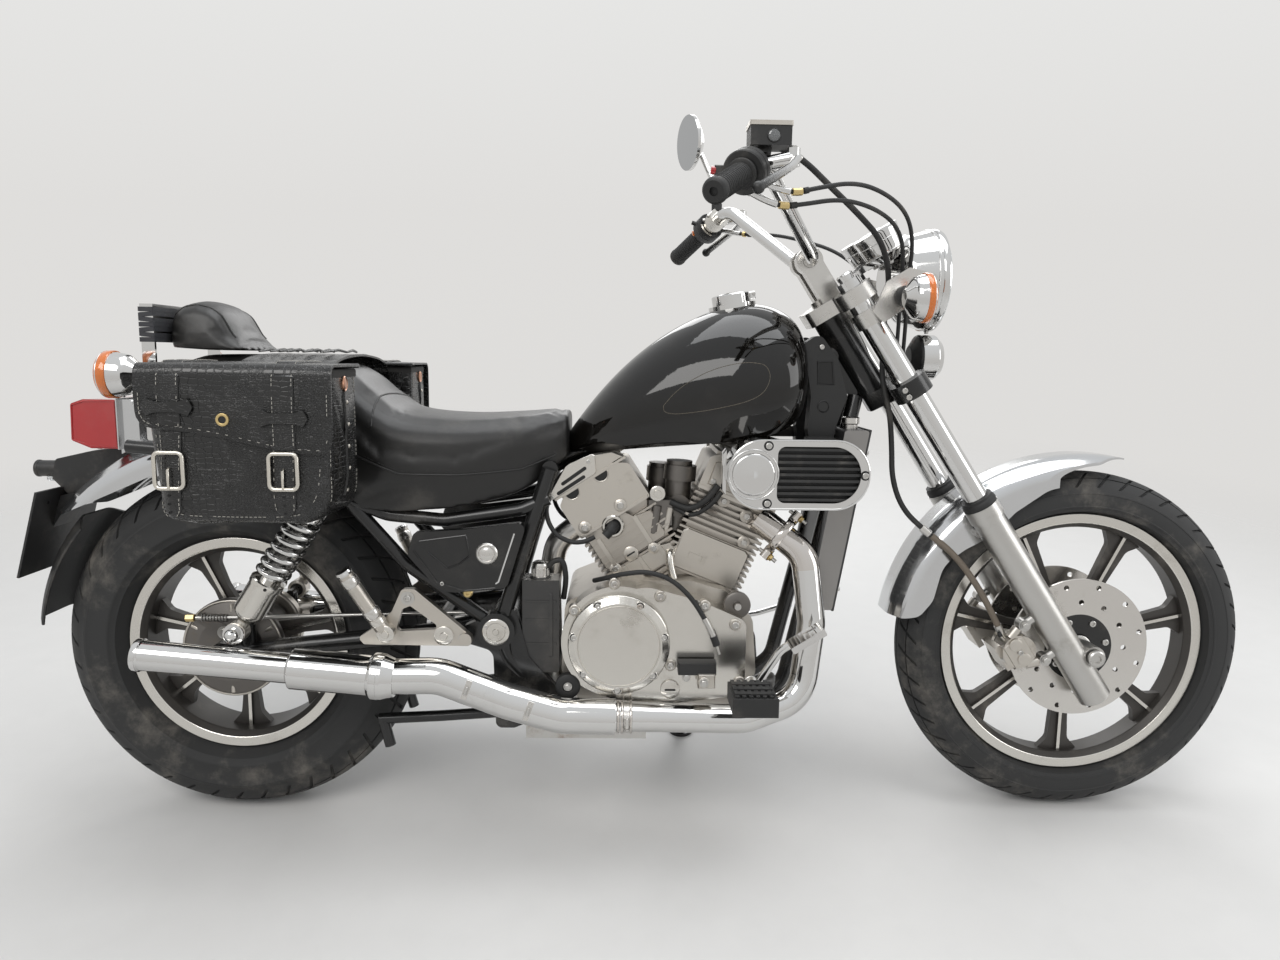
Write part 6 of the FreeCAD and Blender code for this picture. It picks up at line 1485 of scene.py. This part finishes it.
def build_dials():
    """Two round gauges whose numbers are left blank: a ring of ticks, a needle, lamps or a counter."""
    lean = math.radians(58)
    face, across = Vector((-math.cos(lean), 0, math.sin(lean))), Vector((0, 1, 0))
    turn = Matrix((across, face.cross(across), face)).transposed().to_4x4()
    case = Piece("instrument_case_trim")
    for side, name in BOTH_SIDES:
        centre = Vector((1160, side * 46, 1086))
        dial = Piece(name + "_dial", BIKE @ Matrix.Translation(centre + face * 4) @ turn)
        dial.lathe([(-6, 41.2), (-1, 42), (2.4, 41.6), (3.2, 39.4), (2.4, 37.2), (0.6, 36.8)], (0, 0, 0), (0, 0, 1),
                   "chrome", 72)
        dial.lathe([(0.05, 37), (0.6, 36.6), (0.6, 0.01)], (0, 0, 0), (0, 0, 1), "dial_black", 64)
        def flat(degrees, corners, height, finish):
            """A flat mark; its corners are (radius, offset) pairs at an angle from the top."""
            s, c = math.sin(math.radians(degrees)), math.cos(math.radians(degrees))
            dial.put([(r * s + o * c, r * c - o * s, height) for r, o in corners], [tuple(range(len(corners)))],
                     finish)
        for k in range(41):
            r, w = (29, 0.4) if k % 5 else (26, 0.8)
            flat(-130 + 6.5 * k, ((r, -w), (32, -w), (32, w), (r, w)), 0.75, "dial_white")
        flat(-118, ((-8, -1.3), (28, 0), (-8, 1.3)), 1.6, "orange_lens")
        dial.lathe([(0.6, 4.6), (2.2, 4.2), (2.6, 3), (2.6, 0.01)], (0, 0, 0), (0, 0, 1), "black_plastic", 28)
        if side < 0:
            for x, finish in ((-8, "red_lens"), (0, "orange_lens"), (8, "dial_white")):
                dial.lathe([(0.6, 2.6), (1.0, 2.2), (1.0, 0.01)], (x, -15, 0), (0, 0, 1), finish, 20)
        else:
            dial.block((-11, -19, 0.5), (11, -12, 1.2), "dial_white", 0.2)
            for k in range(5):
                dial.block((-10 + 4.1 * k, -18.3, 1.0), (-6.6 + 4.1 * k, -12.7, 1.5), "dial_black", 0.1)
        dial.lathe([(2.0, 37.4), (2.6, 36.6), (3.4, 20), (3.6, 0.01)], (0, 0, 0), (0, 0, 1), "clear_lens", 64)
        dial.build("steering", "black_plastic")
        ring(case, centre - face * 34, face, 37.5, 1.0, "chrome", steps=64)
        ring(case, centre - face * 12, face, 40.6, 0.8, "chrome", steps=64)
        case.bolt(centre - face * 52, -face, 6, 5, "steel")
    case.build("steering", "black_plastic")


def grip_point(side, share):
    bend, end = Vector((926, side * 232, 1172)), Vector((838, side * 400, 1096))
    return bend.lerp(end, share)


def build_handlebar_trim():
    for side, name in BOTH_SIDES:
        trim = Piece(name + "_grip_trim")
        along = (grip_point(side, 1) - grip_point(side, 0)).normalized()
        start, end = grip_point(side, 0.48), grip_point(side, 1.03)
        trim.lathe([(0, 17), (0, 22), (3, 23), (6, 22), (8, 17.4)], start, along, "black_rubber", 40)
        for k in range(14):
            ring(trim, start + along * (14 + 6.6 * k), along, 17.0, 1.0, "black_rubber", 8, 40)
        end_cap = [(-6, 17), (-4, 18.6), (0, 19), (5, 18.2), (8, 15), (8, 6.4), (3, 6), (3, 0.01)]
        trim.lathe(end_cap, end, along, "black_rubber", 40)
        centre = grip_point(side, 0.395)
        if side < 0:
            housing = [(-15, 31.2), (-13, 33), (-2, 33), (-1.2, 32), (1.2, 32), (2, 33), (13, 33), (15, 31.2)]
            trim.lathe(housing, centre, along, "black_plastic", 56)
            trim.bolt(centre + Vector((6, 0, -33)), (0, 0, -1), 3.4, 3, "steel", True)
            trim.block(centre + Vector((-46, 8, -8)), centre + Vector((-30, 22, 10)), "black_plastic", 2.5)
            trim.rod(centre + Vector((-44, 14, 2)), centre + Vector((-52, 14, 3)), 6, "red_lens", 20)
        else:
            housing = [(-15, 27.2), (-13, 28.6), (-1, 28.6), (-0.4, 27.8), (0.4, 27.8), (1, 28.6), (13, 28.6),
                       (15, 27.2)]
            trim.lathe(housing, centre, along, "black_plastic", 48)
            trim.rod(centre + Vector((-24, -4, 8)), centre + Vector((-35, -4, 12)), 4.5, "black_plastic", 16)
            trim.rod(centre + Vector((-26, 6, -8)), centre + Vector((-33, 6, -10)), 5.5, "orange_lens", 16)
        perch = grip_point(side, 0.22)
        pivot = perch + Vector((56, side * 20, 8))
        trim.bolt(pivot + Vector((0, 0, 13)), (0, 0, 1), 6, 5, "steel")
        for k in (-1, 1):
            trim.bolt(perch + along * 9 * k + Vector((-20, 0, 4)), (-1, 0, 0.2), 4, 5, "steel", True)
        trim.build("steering", "black_rubber")
    tank = Piece("brake_reservoir_cap")
    centre = grip_point(-1, 0.22) + Vector((22, 4, 44))
    tank.block(centre + Vector((-32.5, -24.5, 11.5)), centre + Vector((32.5, 24.5, 18.5)), "cast_alloy", 2)
    tank.block(centre + Vector((-27, -19, 17.5)), centre + Vector((27, 19, 19.6)), "black_plastic", 1)
    for x in (-25, 25):
        tank.bolt(centre + Vector((x, 0, 19)), (0, 0, 1), 3.6, 1.8, "steel", True)
    window = [(0, 9), (1.2, 9), (1.8, 8), (1.8, 0.01)]
    tank.lathe(window, centre + Vector((4, -22.8, -3)), (0, -1, 0), "clear_lens", 28)
    ring(tank, centre + Vector((4, -23.4, -3)), (0, -1, 0), 9.4, 1.2, "black_plastic")
    tank.build("steering", "black_rubber")
    crown = Piece("top_clamp_details", BIKE @ FORK)
    bar = FORK.inverted() @ Vector((1046, 0, 1042))
    for side in (1, -1):
        leg_y = side * LEG_Y
        plug = [(0, 15), (6, 15), (9, 12), (9, 6), (6, 5), (6, 0.01)]
        crown.lathe(plug, (LEG_A, leg_y, 1180), (0, 0, 1), "chrome", 40)
        crown.bolt((66, side * 106, 1146), (1, 0.3 * side, 0), 5, 5, "steel", True)
        seal = [(0, 30.4), (4, 31), (10, 30), (14, 26), (16, 22.2)]
        crown.lathe(seal, (LEG_A, leg_y, 704), (0, 0, 1), "black_rubber", 48)
        crown.rod((LEG_A, leg_y, 712), (LEG_A, leg_y, 716), 24, "black_rubber", 40)
        crown.bolt((66, leg_y, 690), (1, 0, 0), 3.4, 3, "steel", True)
        crown.bolt((LEG_A, leg_y, 266), (0, 0, -1), 8, 8, "steel", True)
        for u in (949, 963):
            crown.bolt((20, side * 128.6, u), (0, side, 0), 5, 4, "steel", True)
        for y in (16, 32):
            crown.bolt((bar.x + 18, side * y, bar.z + 8), (0.8, 0, 0.6), 4.4, 5, "steel", True)
    crown.build("steering", "steel")


# Tank, covers, radiator and running gear

def build_tank_trim():
    on = Surface(NODES["fuel_tank"])
    trim = Piece("fuel_tank_trim")
    outline = [(696, 764), (730, 800), (780, 836), (850, 868), (930, 886), (990, 884), (1012, 868), (1016, 840),
               (996, 806), (950, 782), (870, 762), (790, 748), (730, 742), (700, 748), (696, 764)]
    badge = curve([(872 + 0.56 * (x - 856), 812 + 0.62 * (z - 812)) for x, z in outline], 10)[:-1]
    for side in (1, -1):
        line = [on.hit((x, side * 400, z), (0, -side, 0), 0.1) for x, z in badge]
        trim.tube([p for p in line if p], 0.6, "pinstripe", 6, closed=True)
    cap = Matrix.Translation((912, 0, 962)) @ Matrix.Rotation(math.radians(-10), 4, "Y")
    lid = [(18.6, 35.8), (20.6, 34.4), (21.4, 31), (20.2, 29.4), (20.2, 20), (21.6, 18), (22.6, 10), (22.8, 0.01)]
    trim.lathe(lid, (0, 0, 0), (0, 0, 1), "chrome", 64, cap)
    trim.slab([(34, -9), (44, -9), (44, 9), (34, 9)], 6, 20, "chrome", "Z", 1.5, cap)
    trim.rod((41, -11, 15), (41, 11, 15), 3.2, "steel", 14, cap)
    trim.block((-8, -2.6, 21.6), (8, 2.6, 24.2), "steel", 0.6, cap)
    for x, y in spots(5, 40, 0.3):
        trim.bolt((x, y, 1.2), (0, 0, 1), 2.6, 1.8, "steel", True, cap)
    trim.build("chassis", "chrome")


def build_covers():
    on = Surface(NODES["side_and_neck_covers"])
    for side, name in BOTH_SIDES:
        trim = Piece(name + "_cover_details")

        def face(x, z):
            return on.hit((x, side * 400, z), (0, -side, 0))

        def line(points, r, finish):
            route = [face(a[0] + (b[0] - a[0]) * k / 8, a[1] + (b[1] - a[1]) * k / 8)
                     for a, b in zip(points, points[1:]) for k in range(8)]
            trim.tube([p for p in route if p], r, finish, 8)
        line([(362, 545), (442, 556), (448, 520), (430, 505), (410, 498), (372, 530)], 1.6, "gloss_plastic")
        line([(526, 560), (498, 474), (492, 470)], 1.8, "chrome")
        line([(352, 528), (392, 472), (440, 458), (500, 464)], 1.8, "gloss_plastic")
        centre = face(478, 524)
        badge = [(-2, 19), (1.5, 19), (3.4, 17), (3.4, 14), (2.2, 13), (2.2, 11), (3.6, 9), (4.4, 4), (4.6, 0.01)]
        trim.lathe(badge, centre, (0, side, 0), "brushed_alloy", 56)
        ring(trim, centre + Vector((0, side * 3.0, 0)), (0, side, 0), 15.6, 0.8, "steel", 8)
        trim.lathe([(-6, 8.5), (3, 8.5), (5, 6.5), (5, 3), (3, 2.4), (3, 0.01)], (441, side * 129, 448), (0, side, 0),
                   "brass", 32)
        trim.bolt((400, side * 150.4, 470), (0, side, 0), 3.4, 2, "steel", True)
        # The recess is painted shade: a near-black sheet inside a black rim.
        recess = [(1062, 822), (1090, 822), (1086, 862), (1060, 862)]
        trim.slab(recess, side * 69.6, side * 70.5, "painted_recess_shade")
        trim.tube([(x, side * 70.2, z) for x, z in recess], 1.8, "black_plastic", 8, closed=True)
        trim.lathe([(0, 11), (1, 11), (1.8, 9.6), (0.4, 8.6), (0.4, 0.01)], (1073, side * 70, 782), (0, side, 0),
                   "black_plastic", 32)
        for x, z in ((1066, 888), (1072, 722)):
            trim.bolt((x, side * 70.2, z), (0, side, 0), 4.4, 3, "steel", True)
        trim.build("chassis", "black_plastic")


def build_radiator():
    made = Piece("radiator_core")
    low, high = Vector((1096, 0, 414)), Vector((1150, 0, 742))
    along = (high - low).normalized()
    out = Vector((along.z, 0, -along.x))
    run = (high - low).length

    def at(y, u, off):
        """A point of the core: sideways, up its slope and out of its face."""
        return low + along * u + out * off + Vector((0, y, 0))
    for k in range(62):
        u = 10 + (run - 20) * k / 61
        fin = [at(-94, u, 0.4), at(94, u, 0.4), at(94, u + 1.6, 1.8), at(-94, u + 1.6, 1.8)]
        made.put(fin, [(0, 1, 2, 3)], "radiator_black" if k % 3 else "brushed_alloy")
    for y in range(-90, 91, 15):
        made.tube([at(y, 8, 1.6), at(y, run - 8, 1.6)], 1.1, "radiator_black", 6)
    made.tube([at(-101, 0, 1), at(101, 0, 1), at(101, run, 1), at(-101, run, 1)], 3.4, "radiator_black", 10,
              closed=True)
    for share in (0.12, 0.88):
        for y in (-99, 99):
            made.bolt(at(y, run * share, 3), out, 4.4, 4, "steel")
    made.lathe([(0, 13), (8, 13), (10, 16), (20, 16), (22, 13), (22, 0.01)], (1126, -60, 742), (0, 0, 1),
               "brushed_alloy", 32)
    for side in (-1, 1):
        hose = [(1070, side * 80, 690), (1050, side * 76, 690), (1030, side * 60, 672), (1010, side * 44, 640)]
        made.tube(curve(hose), 15, "black_rubber", 20)
    made.build("chassis", "black_plastic")
    bottle = Piece("coolant_bottle_details")
    for x, y in spots(16, 14.6):
        bottle.rod((566 + x, y - 98, 474), (566 + x, y - 98, 488), 1.8, "brushed_alloy", 8)
    lid = [(0, 15.4), (3, 16), (9, 14), (12, 9), (12.6, 0.01)]
    bottle.lathe(lid, (566, -98, 488), (0, 0, 1), "brushed_alloy", 40)
    bottle.lathe([(0, 19), (5, 19), (6, 17), (6, 0.01)], (566, -98, 466), (0, 0, 1), "coolant_bottle", 32)
    bottle.tube(curve([(578, -98, 486), (590, -102, 500), (606, -103, 500), (612, -100, 470), (608, -96, 430)]), 5,
                "black_rubber", 12)
    for z in (352, 396, 430):
        bottle.block((541, -123.2, z), (597, -121, z + 3.4), "coolant_bottle", 0.6)
    bottle.block((584, -124, 330), (590, -120.6, 446), "coolant_bottle", 0.8)
    bottle.build("chassis", "black_plastic")


def build_running_gear():
    trim = Piece("pegs_and_pivots")
    for side in (-1, 1):
        y = side * 138
        pivot = [(0, 24), (3, 24), (4.4, 22), (4.4, 17), (3, 16), (3, 6), (4.6, 5), (4.6, 0.01)]
        trim.lathe(pivot, (491, y, 380), (0, side, 0), "polished_alloy", 56)
        for u, v in spots(3, 19.4, 0.5):
            trim.bolt((491 + u, y + side * 4, 380 + v), (0, side, 0), 2.8, 1.6, "steel", True)
        for x, z, r in ((340, 444, 9), (438, 372, 8)):
            trim.lathe([(0, r + 3), (1.5, r + 3), (1.5, 0.01)], (x, side * 152, z), (0, side, 0), "steel", 32)
            trim.bolt((x, side * 153, z), (0, side, 0), r * 0.66, 5, "steel", True)
        trim.lathe([(0, 17), (3, 17), (4, 15), (4, 7), (6, 6), (6, 0.01)], (402, side * 152, 377), (0, side, 0),
                   "polished_alloy", 40)
        trim.lathe([(0, 15), (3, 15), (4, 13), (4, 7), (7, 6), (7, 0.01)], (306, side * 174, 386), (0, side, 0),
                   "polished_alloy", 40)
        foot, tip = Vector((300, side * 166, 392)), Vector((246, side * 196, 498))
        along = (tip - foot).normalized()
        for share in (0.3, 0.86):
            band = [(-9, 13.2), (-6, 14.6), (6, 14.6), (9, 13.2)]
            trim.lathe(band, foot.lerp(tip, share), along, "brushed_alloy", 32)
        trim.lathe([(-2, 13.2), (2, 14.4), (6, 12.4), (7, 0.01)], tip, along, "chrome", 32)
        trim.lathe([(0, 14.4), (8, 14.8), (12, 13.4)], foot + along * 14, along, "polished_alloy", 32)
    for k in range(6):
        x = 1001 + 8.2 * k
        z = 391 + 5.3 * k
        trim.tube([(x + 0.5, -260, z + 5.8), (x + 0.5, -220, z + 5.8)], 1.9, "chrome", 8)
    for k in range(5):
        trim.lathe([(-3.2, 10.2), (-2, 11.6), (2, 11.6), (3.2, 10.2)], (1074, 212 + 9 * k, 335), (0, 1, 0),
                   "black_rubber", 28)
    for side in (-1, 1):
        for k in range(3):
            y = 252 + 22 * k
            trim.block((896, side * y, 329), (960, side * (y + 12), 333.4), "black_rubber", 1.2)
        trim.block((891, side * 317, 298), (965, side * 321, 330), "black_rubber", 1.4)
        trim.lathe([(0, 13), (3, 13), (5, 10), (5, 0.01)], (940, side * 182, 305), (0, side, 0), "steel", 32)
    trim.tube(curve([(-56, -92, 388), (60, -92, 390), (240, -92, 396), (430, -94, 402)], 4), 3.6, "steel", 12)
    trim.rod((-74, -92, 387.6), (-58, -92, 388), 7, "brass", 6)
    for k in range(9):
        ring(trim, (-44 + 5.4 * k, -92, 388.3), (1, 0, 0), 6.4, 1.2, "steel", 6, 24)
    trim.build("chassis", "alloy")
    hub = Piece("brake_panel_details")
    for (x0, z0), (x1, z1) in zip(spots(6, 66, 0.5), spots(6, 84, 0.5)):
        hub.rod((x0, -77, REAR_Z + z0), (x1, -76.4, REAR_Z + z1), 4, "cast_alloy", 12)
    ring(hub, (0, -75, REAR_Z), (0, -1, 0), 89, 2.2, "cast_alloy", steps=80)
    hub.lathe([(0, 12), (4, 12), (4, 8), (8, 7), (8, 0.01)], (-8, -87, 360), (0, -1, 0), "steel", 24)
    hub.bolt((0, -134.6, REAR_Z), (0, -1, 0), 14, 6, "steel").rod((0, -139, REAR_Z), (0, -147, REAR_Z), 8, "steel")
    for u, v in spots(8, 70):
        hub.bolt((u, 78, REAR_Z + v), (0, 1, 0), 5, 5, "steel")
    ring(hub, (0, 117, REAR_Z), (0, 1, 0), 50, 1.6, "cast_alloy")
    hub.build("chassis", "steel")
    nuts = Piece("front_axle_ends")
    nut = [(0, 15.4), (6, 15.4), (8, 13), (8, 7), (5, 6), (5, 0.01)]
    nuts.lathe(nut, (WHEELBASE, -121, FRONT_Z), (0, -1, 0), "steel", 32)
    nuts.bolt((WHEELBASE, 129, FRONT_Z), (0, 1, 0), 13, 7, "steel")
    nuts.build("steering", "steel")


def build_calipers():
    for side in (-1, 1):
        caliper = Piece(("right" if side < 0 else "left") + "_caliper_details", BIKE @ FORK)
        caliper.block((-62, side * 96, 404), (-16, side * 108, 456), "cast_alloy", 5)
        for s in (414, 446):
            piston = [(0, 12), (3, 12), (4, 10), (4, 0.01)]
            caliper.lathe(piston, (-38, side * 107, s), (0, side, 0), "cast_alloy", 36)
        caliper.rod((-66, side * 60, 430), (-66, side * 104, 430), 6, "steel", 20)
        caliper.bolt((-38, side * 108, 430), (0, side, 0), 5, 5, "steel", True)
        for s in (392, 470):
            caliper.bolt((-6, side * 110, s), (0, side, 0), 6.4, 6, "steel")
        caliper.rod((-48, side * 92, 458), (-50, side * 94, 472), 3.4, "steel", 12)
        caliper.lathe([(0, 4.2), (5, 4), (8, 2.6), (8, 0.01)], (-50, side * 94, 470), (0, 0, 1), "black_rubber", 16)
        caliper.build("steering", "disc")


build_camera()
bpy.context.scene.view_settings.view_transform = "Standard"
build_cables()
build_studio()
dress_all()
build_wheels()
build_seat()
build_backrest()
build_bags()
build_rear_head()
build_front_head()
build_crankcase()
build_air_cleaners()
build_exhausts()
build_shocks()
build_headlamp_trim()
build_signals()
build_tail()
build_dials()
build_handlebar_trim()
build_tank_trim()
build_covers()
build_radiator()
build_running_gear()
build_calipers()
